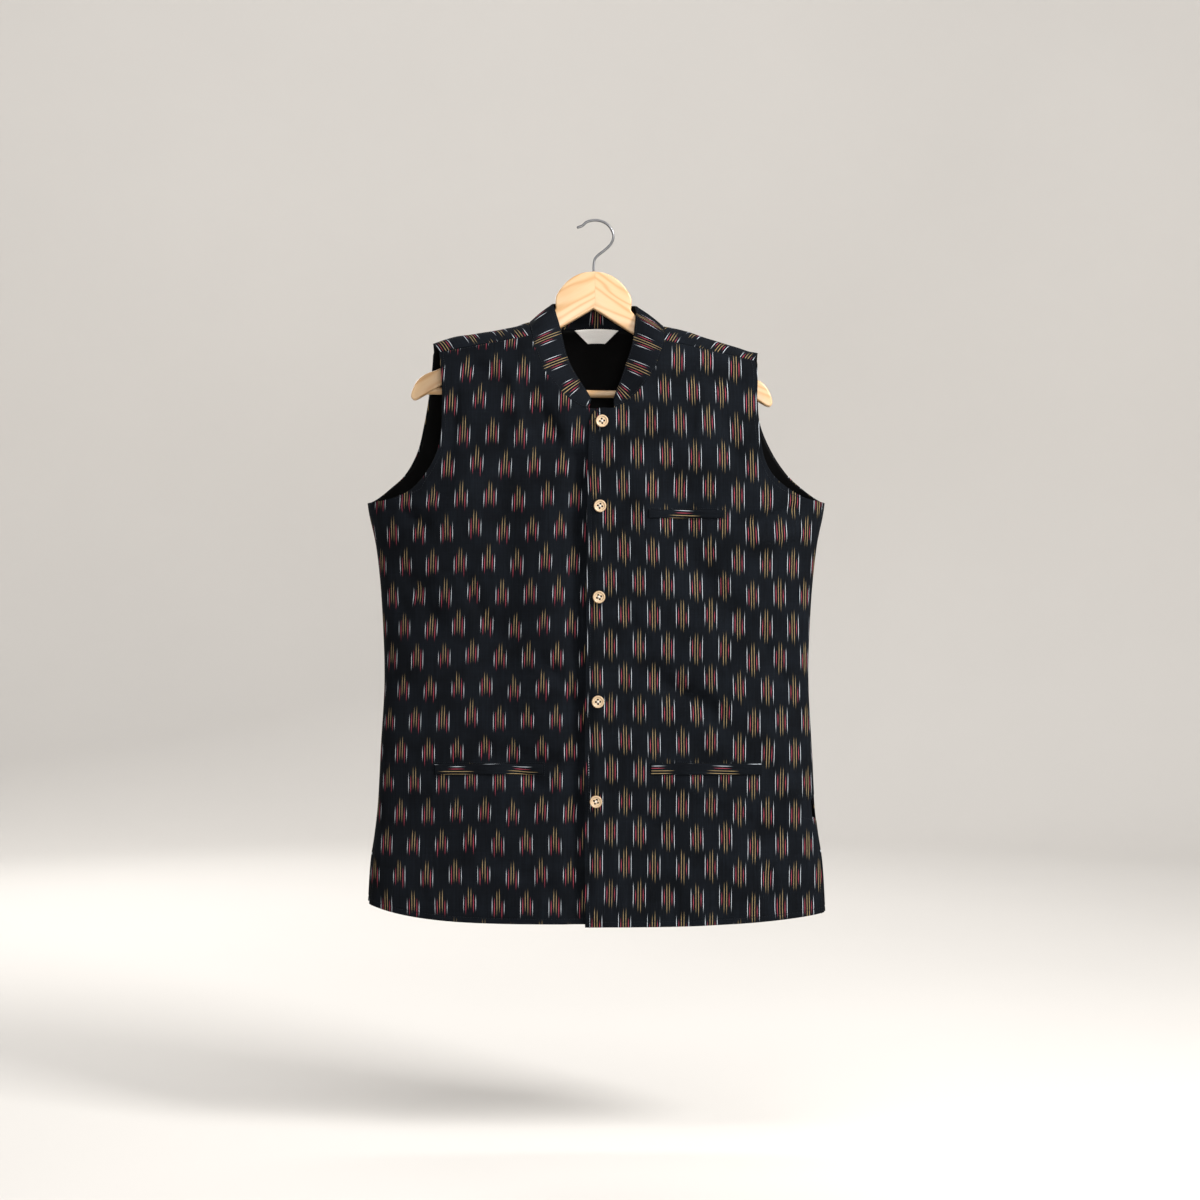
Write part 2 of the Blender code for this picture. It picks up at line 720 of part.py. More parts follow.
def back_grid():
    """Both shoulders, joined by full rows from the back neckline to the hem."""
    first, last = FIRST_FULL_ROW, LAST_FULL_ROW
    right = shoulder_rows(
        SEAM_ROW_RIGHT, RIDGE_ROW_RIGHT, first, ARMHOLE_RIGHT[0], RIDGE_TIP_RIGHT
    )
    left = shoulder_rows(SEAM_ROW_LEFT, RIDGE_ROW_LEFT, last, ARMHOLE_LEFT[0], RIDGE_TIP_LEFT)
    neck_rows = NECK[first + 1 : last]
    rows = []
    for right_line, left_line in zip(right, left):
        rows.append(right_line + [None] * len(neck_rows) + left_line[::-1])
    for column, neck in enumerate(neck_rows):
        rows[-1][BACK_SIDE_COLUMNS + 1 + column] = Place(BACK, neck.x, neck.z)
    top = rows[-1]
    start_right, start_left = top[0], top[-1]
    columns = len(top) - 1
    shares = [
        (place.x - start_right.x) / (start_left.x - start_right.x) for place in top
    ]
    lift = [
        place.z
        - (start_right.z + (start_left.z - start_right.z) * share)
        for place, share in zip(top, shares)
    ]
    armhole_rows = len(BACK_ARMHOLE_PARTS)
    for step in range(1, armhole_rows + BACK_BODY_ROWS + 1):
        in_armhole = step <= armhole_rows
        part = BACK_ARMHOLE_PARTS[step - 1] if in_armhole else 1.0
        body = 0.0 if in_armhole else (step - armhole_rows) / BACK_BODY_ROWS
        right_z = start_right.z + (UNDERARM_Z - start_right.z) * part
        right_z += (HEM_BACK_RIGHT - UNDERARM_Z) * body
        left_z = start_left.z + (UNDERARM_Z - start_left.z) * part
        left_z += (HEM_BACK_LEFT - UNDERARM_Z) * body
        if in_armhole and step < armhole_rows:
            right_x = lookup(BACK_ARMHOLE, "right", right_z)
            left_x = lookup(BACK_ARMHOLE, "left", left_z)
        else:
            right_x, left_x = -side_x(right_z), side_x(left_z)
        even = (1.0 - part) ** 1.5
        hem_sag = body**3

        def height_at(share):
            chord = right_z + (left_z - right_z) * share
            hump = 0.0
            if even > 0.0:
                at = share * columns
                near = min(columns - 1, int(at))
                hump = lift[near] + (lift[near + 1] - lift[near]) * (at - near)
            middle = HEM_BACK_MIDDLE - 0.5 * (HEM_BACK_RIGHT + HEM_BACK_LEFT)
            sag = middle * (1.0 - abs(2.0 * share - 1.0) ** 4)
            return chord + hump * even + sag * hem_sag

        even_x = spread(BACK, right_x, left_x, height_at, columns)
        blend = smooth_step(0.0, 1.0, part)
        line = []
        for column in range(columns + 1):
            share = (even_x[column] - right_x) / (left_x - right_x)
            share = shares[column] * (1.0 - blend) + share * blend
            x = right_x + (left_x - right_x) * share
            flat = share if even == 0.0 else column / columns
            z = right_z + (left_z - right_z) * share
            z += height_at(flat) - (right_z + (left_z - right_z) * flat)
            line.append(Place(BACK, x, z))
        rows.append(line)
    return rows


def make_back():
    grid = back_grid()
    panel_object("back", grid, IKAT)
    lining_rows = grid[LINING_FIRST_ROW : len(grid) - LINING_HEM_RISE_ROWS]
    return panel_object("back_lining", lining_rows, LINING, WALL + SEAM_GAP, LINING_WALL)


# ---------------------------------------------------------------- collar


def make_collar():
    """One band that stands on the neckline; its foot is cut parallel to the panels' edge."""
    feet = []
    for number, row in enumerate(NECK):
        sink = lap_sink(row.x) if number < SEAM_ROW_RIGHT else 0.0
        feet.append(Place(row.side, row.x, row.z, sink))
    outer, inner = [[] for _ in range(COLLAR_ROWS + 1)], [[] for _ in range(COLLAR_ROWS + 1)]
    for number, (foot, row) in enumerate(zip(feet, NECK)):
        before, after = feet[max(number - 1, 0)], feet[min(number + 1, len(feet) - 1)]
        along = (after.point - before.point).normalized()
        top = Vector((row.top_x, row.top_y, row.top_z))
        rise = foot.normal.cross(along).normalized()
        if rise.dot(top - foot.point) < 0.0:
            rise = -rise
        start = foot.point + rise * NECK_SEAM
        reach = (top - start).normalized()
        out = reach.cross(along).normalized()
        if out.dot(foot.normal) < 0.0:
            out = -out
        for level in range(COLLAR_ROWS + 1):
            part = level / COLLAR_ROWS
            bulge = 1.2 * math.sin(math.pi * part)
            point = start.lerp(top, part) + out * bulge
            thickness = COLLAR_WALL if level else WALL
            away = out if level else foot.normal
            outer[level].append(point)
            inner[level].append(point - away * thickness)
    return wall_object("collar", outer, inner, IKAT)


# ---------------------------------------------------------------- what lies on the panels


# Farther from the skin than any fold, in Y
OUT_OF_REACH = 400.0


class Carrier:
    """Outer face of a finished panel, to lay smaller pieces on."""

    def __init__(self, panel, side):
        vertices = [vertex.co / MM for vertex in panel.data.vertices]
        polygons = [tuple(polygon.vertices) for polygon in panel.data.polygons]
        self.tree = BVHTree.FromPolygons(vertices, polygons)
        self.side = side

    def point_at(self, x, z):
        far = Vector((x, self.side * OUT_OF_REACH, z))
        return self.tree.ray_cast(far, Vector((0.0, -self.side, 0.0)))[0]


def make_welt(carrier, welt):
    outer, inner = [], []
    for row in range(WELT_ROWS + 1):
        outer.append([])
        inner.append([])
        for column in range(WELT_COLUMNS + 1):
            part = column / WELT_COLUMNS
            x = welt.x0 + (welt.x1 - welt.x0) * part
            z = welt.z0 + (welt.z1 - welt.z0) * part - welt.width * row / WELT_ROWS
            point = carrier.point_at(x, z)
            normal = skin_normal(FRONT, skin_point(FRONT, x, z))
            inner[-1].append(point + normal * WELT_SEAT_GAP)
            outer[-1].append(point + normal * (WELT_SEAT_GAP + WELT_WALL))
    return wall_object(welt.name, outer, inner, IKAT)


def make_button(carrier, number, button):
    """Turned disc whose axis is square to the cloth under it."""
    seat = carrier.point_at(button.x, button.z)
    normal = skin_normal(FRONT, skin_point(FRONT, button.x, button.z))
    turn = normal.to_track_quat("Z", "Y").to_matrix()
    seat = seat + normal * SEAT_GAP
    points, faces = [], []
    points.append(seat)
    for ring in BUTTON_PROFILE[1:-1]:
        for step in range(BUTTON_SIDES):
            angle = 2 * math.pi * step / BUTTON_SIDES
            local = Vector((ring.radius * math.cos(angle), ring.radius * math.sin(angle), ring.height))
            points.append(seat + turn @ local)
    points.append(seat + normal * BUTTON_PROFILE[-1].height)
    top = len(points) - 1
    rings = len(BUTTON_PROFILE) - 2
    for step in range(BUTTON_SIDES):
        after = (step + 1) % BUTTON_SIDES
        faces.append((0, 1 + after, 1 + step))
        for ring in range(rings - 1):
            low, high = 1 + ring * BUTTON_SIDES, 1 + (ring + 1) * BUTTON_SIDES
            faces.append((low + step, low + after, high + after, high + step))
        last = 1 + (rings - 1) * BUTTON_SIDES
        faces.append((top, last + step, last + after))
    return object_from(f"button_{number}", points, faces, COCONUT)


def make_label(lining):
    """Bare woven label on the lining, under the middle of the back neck."""
    carrier = Carrier(lining, FRONT)
    neck_z = NECK[CENTRE_BACK_ROW].z
    outer, inner = [], []
    for row in range(3):
        drop = LABEL_BELOW_NECK + LABEL_HEIGHT * row / 2
        half = LABEL_TOP_HALF + (LABEL_BOTTOM_HALF - LABEL_TOP_HALF) * row / 2
        outer.append([])
        inner.append([])
        for column in range(LABEL_COLUMNS + 1):
            x = half * (2 * column / LABEL_COLUMNS - 1)
            z = neck_z - drop
            on_lining = min(z, neck_z - LINING_BELOW_NECK)
            normal = -skin_normal(BACK, skin_point(BACK, x, on_lining))
            rise = z - on_lining
            point = carrier.point_at(x, on_lining) + Vector((0.0, -rise * normal.z / normal.y, rise))
            inner[-1].append(point + normal * SEAT_GAP)
            outer[-1].append(point + normal * (SEAT_GAP + LABEL_WALL))
    return wall_object("label", outer, inner, LABEL_WHITE)


# ---------------------------------------------------------------- hanger


def hanger_place(u, y, z):
    """Point of the hanger's own frame, tipped about the hook."""
    turn = Matrix.Rotation(HANGER_TILT, 3, "Y")
    return turn @ Vector((HANGER_AXIS_X + u, y, z))


def make_hanger():
    """Board of head and arms, with a bore for the stem and a socket for each end of the bar."""
    half = list(HANGER_OUTLINE)
    ring = [Outline(-point.u, point.z) for point in half[1:-1]]
    ring = half + ring[::-1]
    count = len(ring)
    levels = (
        (-HANGER_HALF_THICKNESS, HANGER_EDGE_ROUND),
        (-HANGER_HALF_THICKNESS + HANGER_EDGE_ROUND, 0.0),
        (HANGER_HALF_THICKNESS - HANGER_EDGE_ROUND, 0.0),
        (HANGER_HALF_THICKNESS, HANGER_EDGE_ROUND),
    )
    points, faces = [], []
    for y, inset in levels:
        for number, point in enumerate(ring):
            before = Vector(ring[number - 1])
            after = Vector(ring[(number + 1) % count])
            here = Vector(point)
            first = (here - before).normalized()
            second = (after - here).normalized()
            inward = Vector((-(first.y + second.y), first.x + second.x)).normalized()
            spread_by = 1.0 / max(0.4, inward.dot(Vector((-first.y, first.x))))
            moved = here - inward * inset * spread_by
            points.append(hanger_place(moved.x, y, moved.y))
    for level in range(len(levels) - 1):
        for number in range(count):
            after = (number + 1) % count
            low, high = level * count, (level + 1) * count
            faces.append((low + number, low + after, high + after, high + number))
    faces.append(tuple(range(count)))
    faces.append(tuple(range(len(points) - 1, len(points) - 1 - count, -1)))
    board = object_from("hanger", points, faces, PINE)
    cut(board, rod("stem_bore", stem_line(), WIRE_RADIUS + BORE_CLEARANCE, 10))
    for side in (-1, 1):
        start = side * (BAR_HALF_LENGTH - BAR_SOCKET_LENGTH)
        end = side * (BAR_HALF_LENGTH + BORE_CLEARANCE)
        line = [hanger_place(start, 0, BAR_CENTRE_Z), hanger_place(end, 0, BAR_CENTRE_Z)]
        cut(board, rod(f"bar_socket_{side}", line, BAR_RADIUS + BORE_CLEARANCE, 16))
    return board


def rod(name, line, radius, sides):
    """Straight round rod between two points."""
    start, end = line
    made = bmesh.new()
    bmesh.ops.create_cone(
        made,
        cap_ends=True,
        segments=sides,
        radius1=radius * MM,
        radius2=radius * MM,
        depth=(end - start).length * MM,
    )
    turn = (end - start).to_track_quat("Z", "Y").to_matrix().to_4x4()
    bmesh.ops.transform(made, matrix=Matrix.Translation((start + end) * 0.5 * MM) @ turn, verts=made.verts)
    mesh = bpy.data.meshes.new(name)
    made.to_mesh(mesh)
    made.free()
    mesh.shade_smooth()
    mesh.set_sharp_from_angle(angle=math.radians(50))
    rod_object = bpy.data.objects.new(name, mesh)
    bpy.context.scene.collection.objects.link(rod_object)
    return rod_object


def cut(target, cutter):
    """Boolean difference with a hidden cutter."""
    cutter.hide_render = True
    cutter.display_type = "WIRE"
    modifier = target.modifiers.new(cutter.name, "BOOLEAN")
    modifier.operation = "DIFFERENCE"
    modifier.object = cutter


def stem_line():
    end = Vector((HOOK_LINE[-1].u, 0.0, HOOK_LINE[-1].z - BORE_CLEARANCE))
    start = Vector((HOOK_LINE[-2].u, 0.0, HOOK_LINE[-2].z))
    return [end, start + (start - end).normalized() * 4.0]


def make_bar():
    line = [
        hanger_place(-BAR_HALF_LENGTH, 0, BAR_CENTRE_Z),
        hanger_place(BAR_HALF_LENGTH, 0, BAR_CENTRE_Z),
    ]
    bar = rod("hanger_bar", line, BAR_RADIUS, 16)
    bar.data.materials.append(material_of("hanger_bar", PINE))
    return bar


def make_hook():
    """Steel wire, bent in one plane, with its stem in the head."""
    curve = bpy.data.curves.new("hook", "CURVE")
    curve.dimensions = "3D"
    curve.bevel_depth = WIRE_RADIUS * MM
    curve.bevel_resolution = 2
    curve.use_fill_caps = True
    line = rounded_line([tuple(point) for point in HOOK_LINE[:-1]], HOOK_STEPS)
    line.append(Vector(HOOK_LINE[-1]))
    spline = curve.splines.new("POLY")
    spline.points.add(len(line) - 1)
    for point, place in zip(spline.points, line):
        point.co = (place.x * MM, 0.0, place.y * MM, 1.0)
    curve.materials.append(material_of("hook", STEEL))
    hook = bpy.data.objects.new("hook", curve)
    bpy.context.scene.collection.objects.link(hook)
    return hook


# ---------------------------------------------------------------- the whole


def main():
    for old in list(bpy.data.objects):
        bpy.data.objects.remove(old, do_unlink=True)
    front_left = make_fronts()
    lining = make_back()
    make_collar()
    lap_face = Carrier(front_left, FRONT)
    right_face = Carrier(bpy.data.objects["front_right"], FRONT)
    for welt in WELTS:
        make_welt(lap_face if welt.x0 > 0 else right_face, welt)
    for number, button in enumerate(BUTTONS, start=1):
        make_button(lap_face, number, button)
    make_label(lining)
    make_hanger()
    make_bar()
    make_hook()


main()
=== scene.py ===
"""The finish of a sleeveless stand-collar jacket in ikat cotton, on a wooden hanger with a hook.

Sizes are in millimetres and turn into metres where a mesh is made. +Z is up, the jacket faces -Y
and the origin is the underside of the hook's apex. "Left" and "right" are the wearer's, so a left
piece lies at +X.

The cloth is one hollow form, the skin: a flattened tube, closed along the shoulder ridge. Every
panel is a thin shell on that skin. Where its cloth came from on the bolt is kept on its points as
the attribute "bolt", across in X and along the warp in Y, and the dyed pattern reads it.
"""

import logging
import math
from dataclasses import dataclass
from enum import Enum
from typing import Callable, Iterable, NamedTuple, Protocol, Sequence

import bmesh
import bpy
import numpy as np
from mathutils import Matrix, Vector
from mathutils.bvhtree import BVHTree

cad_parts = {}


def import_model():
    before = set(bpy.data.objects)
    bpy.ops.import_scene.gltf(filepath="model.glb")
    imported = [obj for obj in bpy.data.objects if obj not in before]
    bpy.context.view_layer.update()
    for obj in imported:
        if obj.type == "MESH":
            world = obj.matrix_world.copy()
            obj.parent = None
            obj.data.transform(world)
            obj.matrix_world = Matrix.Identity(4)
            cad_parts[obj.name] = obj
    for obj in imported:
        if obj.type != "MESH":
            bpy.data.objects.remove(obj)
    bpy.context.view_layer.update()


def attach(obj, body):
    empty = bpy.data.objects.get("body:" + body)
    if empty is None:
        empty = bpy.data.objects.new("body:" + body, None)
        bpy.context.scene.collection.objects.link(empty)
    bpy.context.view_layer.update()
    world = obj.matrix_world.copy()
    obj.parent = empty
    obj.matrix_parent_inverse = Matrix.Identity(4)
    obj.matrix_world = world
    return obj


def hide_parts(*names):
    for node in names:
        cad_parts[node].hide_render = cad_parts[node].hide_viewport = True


MM = 0.001
BODY = "root"
BOLT = "bolt"
log = logging.getLogger("jacket")
Array = np.ndarray
Colour = tuple[float, float, float, float]
Pair = tuple[float, float]
Spot = tuple[float, float, float]
Piece = bpy.types.Object
Finish = bpy.types.Material

# The hollow form
SECTION_POWER = 2.5
SHOULDER_DROP = 110
UNDERARM_Z = -344
VENT_TOP_Z = -724
VENT_FULL_Z = -800
BELOW_HEM_Z = -900
NOTCH_TOP = (-699, -705)
NOTCH_FOOT = (-729, -724)
VENT_OPEN = 3.2
SEAM_GAP = 0.12
VENT_PULLED_IN = 2.6
VENT_PUSHED_OUT = 0.8

# Cloth
SHELL = 1.25
COLLAR_WALL = 2.6
EDGE_ROLL = 1.3
EDGE_DROP = 0.5
LINING_WALL = 0.5
LINING_ABOVE_HEM = 30
LAP_SINK = 2.65
LAP_SINK_X = (-42, -18)
HEM_STITCH_ABOVE = 6.5
HEM_ROWS = np.array([12, 9.5, 8, 7.2, 6.5, 5.8, 5, 3.4, 1.3, 0.8, 0.35, 0])


class Side(Enum):
    """Face of the jacket, and the sign of its Y."""

    FRONT = -1
    BACK = 1


class Wearer(Enum):
    """Half of the jacket on the wearer, and the sign of its X."""

    RIGHT = -1
    LEFT = 1


class Girth(NamedTuple):
    """Half width and depths of the tube at one height."""

    z: float
    half_width: float
    front: float
    back: float


class Edge(NamedTuple):
    """Point of a panel's edge, seen from the front."""

    x: float
    z: float


class Neck(NamedTuple):
    """Point of the neckline and the point of the collar's top edge over it."""

    x: float
    z: float
    top_x: float
    top_y: float
    top_z: float


class Halves(NamedTuple):
    """Where an edge of the right half and one of the left half are at one height."""

    z: float
    right: float
    left: float


class Hem(NamedTuple):
    """Hem heights at the front edge and the side seam, and how late the corner lifts."""

    edge: float
    side: float
    bow: float


class Crease(NamedTuple):
    """Soft trough (depth below 0) or ridge (above 0) along a straight line."""

    x0: float
    z0: float
    x1: float
    z1: float
    width: float
    depth: float


def rows_of(kind: type, rows: Iterable[tuple]) -> tuple:
    """Table of one kind of row, from the rows' values."""
    return tuple(kind(*row) for row in rows)


GIRTH = rows_of(Girth, (
    (-870, 281, 49, 45), (-780, 275.5, 47, 43), (-720, 267, 45, 41), (-650, 263, 44, 40),
    (-560, 258.5, 45, 40), (-470, 261.5, 48, 41), (-400, 268, 51, 43), (-341, 278.5, 53, 45),
    (-250, 279, 52, 46), (-120, 279, 48, 45),
))
RIDGE = rows_of(Edge, (
    (-285, -166), (-199.5, -149.4), (-172.6, -142.1), (-133.6, -135), (-99.4, -128.6),
    (-81.5, -123), (-40, -120.3), (0, -119.5), (40, -121), (81.5, -128), (112.8, -135.3),
    (139.7, -144), (171.4, -153.8), (197, -160.4), (285, -183),
))
NECK = rows_of(Neck, (
    (-9.5, -231.8, -6, -41, -220.5), (-17, -230.3, -9, -39.5, -214),
    (-31, -221.5, -15.5, -37, -204), (-46, -207, -23, -34, -192), (-58, -192, -30.5, -30, -178),
    (-67, -176, -36.5, -25.5, -162), (-72.5, -162, -40, -21, -147), (-76.2, -150, -43, -17, -133.5),
    (-78, -141.5, -46, -13.5, -122.5), (-80.5, -131.5, -50, -9.5, -110.5),
    (-81.5, -123, -53.5, -1, -101), (-79, -126, -52.5, 6, -99), (-72, -128.5, -48.5, 11.5, -99),
    (-58, -129.6, -40.5, 15.5, -100), (-40, -129.4, -28.5, 17.5, -101),
    (-20, -128.9, -14.5, 18, -101.6), (0, -128.8, 0, 18, -101.8), (20, -129.4, 14.5, 18, -101.8),
    (40, -130.6, 28, 17.5, -101.6), (58, -131.8, 38.5, 15.5, -101.3),
    (71.5, -132.2, 45, 11.5, -101.3), (79, -131, 48, 6, -101.8), (81.5, -128, 48.5, -1, -104),
    (82.5, -137.5, 48, -9.5, -115), (82.2, -147.5, 46.5, -13.5, -127),
    (79.5, -157.5, 45, -17, -140), (76, -168.5, 42.3, -21, -153), (71, -181.5, 38.3, -25, -166.5),
    (61.5, -196, 33.5, -29.5, -181), (49, -212.5, 28.5, -34, -196.5), (34, -225, 24, -38, -208.5),
    (20.5, -231.5, 20.8, -41, -218),
))
SEAM_ROW_RIGHT, SEAM_ROW_LEFT = 8, 24
RIDGE_ROW_RIGHT, RIDGE_ROW_LEFT = 10, 22
FIRST_FULL_ROW, CENTRE_BACK_ROW, LAST_FULL_ROW = 13, 16, 19
NECK_SIDES = [
    Side.BACK if RIDGE_ROW_RIGHT <= row <= RIDGE_ROW_LEFT else Side.FRONT
    for row in range(len(NECK))
]
ARMHOLE_RIGHT = rows_of(Edge, (
    (-190.5, -161.5), (-189, -174), (-187.5, -188), (-186.3, -203), (-185.8, -218), (-185.7, -233),
    (-186, -248), (-187, -263), (-190, -279), (-197, -296), (-208, -313), (-222, -328),
    (-243, -338), (-264, -342.6),
))
ARMHOLE_LEFT = rows_of(Edge, (
    (192, -171.5), (194.2, -182), (194.6, -195), (194, -209), (193.4, -223), (194, -238),
    (196, -256), (198.4, -275), (202.5, -293), (211, -309.5), (225, -323), (248, -337),
    (266, -341.8),
))
FRONT_EDGE_RIGHT = rows_of(Edge, ((20.5, z) for z in (-234.5, -249, -266, -284, -303)))
FRONT_EDGE_LEFT = rows_of(Edge, (
    (4, -232), (-4.8, -239), (-8.6, -251), (-9.6, -269), (-10.2, -290),
))
LAP_EDGE = rows_of(Halves, (
    (-855, 20.5, -13.6), (-700, 20.5, -14.8), (-580, 20.5, -13.6), (-460, 20.5, -12.4),
    (-340, 20.5, -11.2), (-240, 20.5, -9),
))
BACK_ARMHOLE = rows_of(Halves, (
    (UNDERARM_Z, -278.5, 278.5), (-337, -268, 268), (-325, -254, 253), (-308, -236.5, 235.5),
    (-280, -221.5, 217), (-245, -213, 202.5), (-211, -207, 199), (-178, -202.5, 198),
    (-150, -199.5, 197),
))
HEM_RIGHT = Hem(-850, -830.5, 4.8)
HEM_LEFT = Hem(-853.6, -840.5, 3)
HEM_BACK_MIDDLE, HEM_BACK_RIGHT, HEM_BACK_LEFT = -848, -829, -841.5

# The largest folds are the solids' own; the finer ones after them lie on the cloth between
FRONT_FOLDS = rows_of(Crease, (
    (-110, -300, -108, -575, 30, -5.5), (-47, -310, -49, -530, 24, 3.5),
    (-78, -190, -50, -296, 20, -3.5), (-184, -368, -146, -325, 18, 3),
    (-100, -655, -22, -715, 16, -2.5), (-250, -702, -184, -750, 20, -2.5),
    (84, -198, 48, -254, 19, -3.5), (95, -190, 176, -200, 16, -3), (98, -312, 116, -436, 28, -5),
    (120, -445, 154, -492, 22, -3), (47, -300, 63, -368, 20, 3), (60, -612, 130, -642, 18, -2.5),
    (172, -732, 250, -756, 20, -3), (147, -790, 150, -850, 22, -3),
))
BACK_FOLDS = rows_of(Crease, (
    (-118, -270, -96, -520, 32, -4.5), (110, -280, 92, -560, 30, -4.5),
    (-30, -250, -22, -470, 26, 3), (40, -540, 110, -690, 24, -3), (-200, -400, -150, -340, 22, 3),
    (-210, -720, -120, -790, 24, -3), (60, -780, 64, -850, 22, -2.5),
))
FRONT_CREASES = rows_of(Crease, (
    (90, -184, 170, -198, 13, -1.5), (49, -538, 162, -614, 15, -1.8),
    (121, -421, 176, -490, 14, -1.2), (-42, -350, -40, -520, 12, -1.5),
    (-110, -640, -40, -662, 11, -1.3), (-232, -425, -190, -492, 12, -1.3),
    (-25, -290, -27, -845, 9, -2.9), (-2, -300, -2, -845, 8, 0.9), (-62, -537, -20, -580, 9, -1.5),
    (-95, -590, -60, -560, 8, 0.9), (-132, -640, -60, -690, 10, -1.2),
    (-160, -430, -128, -500, 9, -1.1), (-205, -372, -232, -352, 8, -1.4),
    (-175, -345, -240, -352, 7, 1), (-240, -470, -200, -440, 9, -1),
    (-68, -232, -46, -270, 8, -1.4), (-98, -196, -92, -262, 9, 1.1),
    (-150, -178, -110, -196, 9, -1.2), (-170, -215, -176, -300, 8, -1),
    (-140, -760, -70, -800, 12, -1), (-60, -800, -34, -846, 9, -1.2),
    (-205, -790, -190, -830, 8, 0.8), (64, -205, 40, -236, 7, 1.1), (150, -232, 172, -300, 9, -1.1),
    (132, -205, 122, -262, 8, 0.9), (176, -372, 238, -352, 8, -1.5), (190, -395, 246, -380, 9, 1.1),
    (30, -470, 62, -520, 9, -1.1), (10, -590, 34, -566, 7, -1.1), (78, -560, 140, -590, 10, -1.1),
    (196, -500, 226, -560, 9, -1), (205, -620, 236, -690, 10, 0.9), (40, -715, 90, -745, 10, -0.9),
    (110, -690, 182, -712, 8, 0.8), (20, -760, 32, -835, 9, 0.9), (90, -800, 96, -850, 9, -1),
    (206, -790, 214, -838, 9, -1.2), (263.5, -708, 265, -727, 2.6, -1.6),
))
BACK_CREASES = rows_of(Crease, (
    (-60, -170, -96, -240, 12, -1.5), (52, -176, 90, -250, 12, -1.4),
    (-150, -170, -110, -182, 9, 1), (150, -180, 112, -190, 9, 1), (-226, -362, -160, -388, 9, -1.4),
    (228, -360, 168, -392, 9, -1.3), (-172, -440, -150, -560, 10, -1.1),
    (166, -450, 150, -540, 11, 1), (-60, -560, 20, -600, 10, -1), (-40, -640, 60, -660, 11, -1.1),
    (-180, -640, -110, -690, 10, 0.9), (140, -620, 206, -590, 9, -1),
    (-30, -720, -20, -840, 12, -1.2), (150, -730, 168, -838, 11, -1.2),
    (-150, -800, -146, -842, 9, 0.9),
))

# Curves and cloth waviness


def soft_step(start: float, end: float, at: Array) -> Array:
    """Soft change from 0 at the start to 1 at the end, which may lie below the start."""
    part = np.clip((np.asarray(at, float) - start) / (end - start), 0, 1)
    return part * part * (3 - 2 * part)


def curve_through(knots: Array, values: Array, at: Array) -> Array:
    """Smooth curve through a value or a row of values at each knot.

    Args:
        knots: rising places.
        values: one value, or one row of values, for each knot.
        at: places to read, held inside the knots.

    Returns:
        The curve's values, with the shape of `at` and the values' own last axis.
    """
    knots, values = np.asarray(knots, float), np.asarray(values, float)
    at = np.clip(np.asarray(at, float), knots[0], knots[-1])
    wide = (-1,) + (1,) * (values.ndim - 1)
    slopes = np.empty_like(values)
    slopes[1:-1] = (values[2:] - values[:-2]) / (knots[2:] - knots[:-2]).reshape(wide)
    slopes[0] = (values[1] - values[0]) / (knots[1] - knots[0])
    slopes[-1] = (values[-1] - values[-2]) / (knots[-1] - knots[-2])
    span = np.clip(np.searchsorted(knots, at, side="left") - 1, 0, len(knots) - 2)
    length = knots[span + 1] - knots[span]
    part = (at - knots[span]) / length
    if values.ndim > 1:
        length, part = length[..., None], part[..., None]
    square, cube = part**2, part**3
    return (
        (2 * cube - 3 * square + 1) * values[span]
        + (cube - 2 * square + part) * length * slopes[span]
        + (3 * square - 2 * cube) * values[span + 1]
        + (cube - square) * length * slopes[span + 1]
    )


def column_of(table: Sequence[NamedTuple], column: str, at: Array) -> Array:
    """Smooth curve through one column of a table, whose first column rises from row to row."""
    return curve_through([row[0] for row in table], [getattr(row, column) for row in table], at)


def unit(vectors: Array) -> Array:
    """Vectors with a length of 1."""
    return vectors / np.linalg.norm(vectors, axis=-1, keepdims=True)


def lengths_along(points: Array, axis: int) -> Array:
    """Length of a grid's lines up to each point, along one axis of the grid."""
    runs = np.linalg.norm(np.diff(points, axis=axis), axis=-1)
    pad = [(0, 0)] * runs.ndim
    pad[axis] = (1, 0)
    return np.cumsum(np.pad(runs, pad), axis=axis)


def edge_path(points: Sequence[Edge], corners: Sequence[int], rows: Array) -> Array:
    """Edge of a panel, smooth but for its corners.

    Args:
        points: one point for each whole row.
        corners: rows where the edge turns sharply.
        rows: whole or fractional rows to read, rising.

    Returns:
        x and z for each row.
    """
    line = np.array(points, float)
    result = np.empty((len(rows), 2))
    stops = [0, *corners, len(line) - 1]
    for start, end in zip(stops[:-1], stops[1:]):
        run = line[start : end + 1]
        chord = lengths_along(run, 0)
        inside = (rows >= start) & (rows <= end)
        at = np.interp(rows[inside], np.arange(start, end + 1), chord)
        result[inside] = curve_through(chord, run, at)
    return result


def fine_path(points: Sequence, corners: Sequence[int], steps: int) -> Array:
    """Path through points, with the same number of steps from each to the next."""
    last = len(points) - 1
    return edge_path(points, corners, np.linspace(0, last, last * steps + 1))


def crease_height(creases: Sequence[Crease], x: Array, z: Array) -> Array:
    """How far a set of creases lifts the cloth; each fades along and across its line."""
    total = np.zeros(np.broadcast(x, z).shape)
    for crease in creases:
        run_x, run_z = crease.x1 - crease.x0, crease.z1 - crease.z0
        off_x, off_z = x - crease.x0, z - crease.z0
        along = np.clip((off_x * run_x + off_z * run_z) / (run_x**2 + run_z**2), -0.35, 1.35)
        inside = np.clip(along, 0, 1)
        away = np.hypot(off_x - run_x * inside, off_z - run_z * inside)
        fade = soft_step(-0.35, 0.2, along) * soft_step(1.35, 0.8, along)
        total += crease.depth * fade * np.exp(-((away / crease.width) ** 2))
    return total


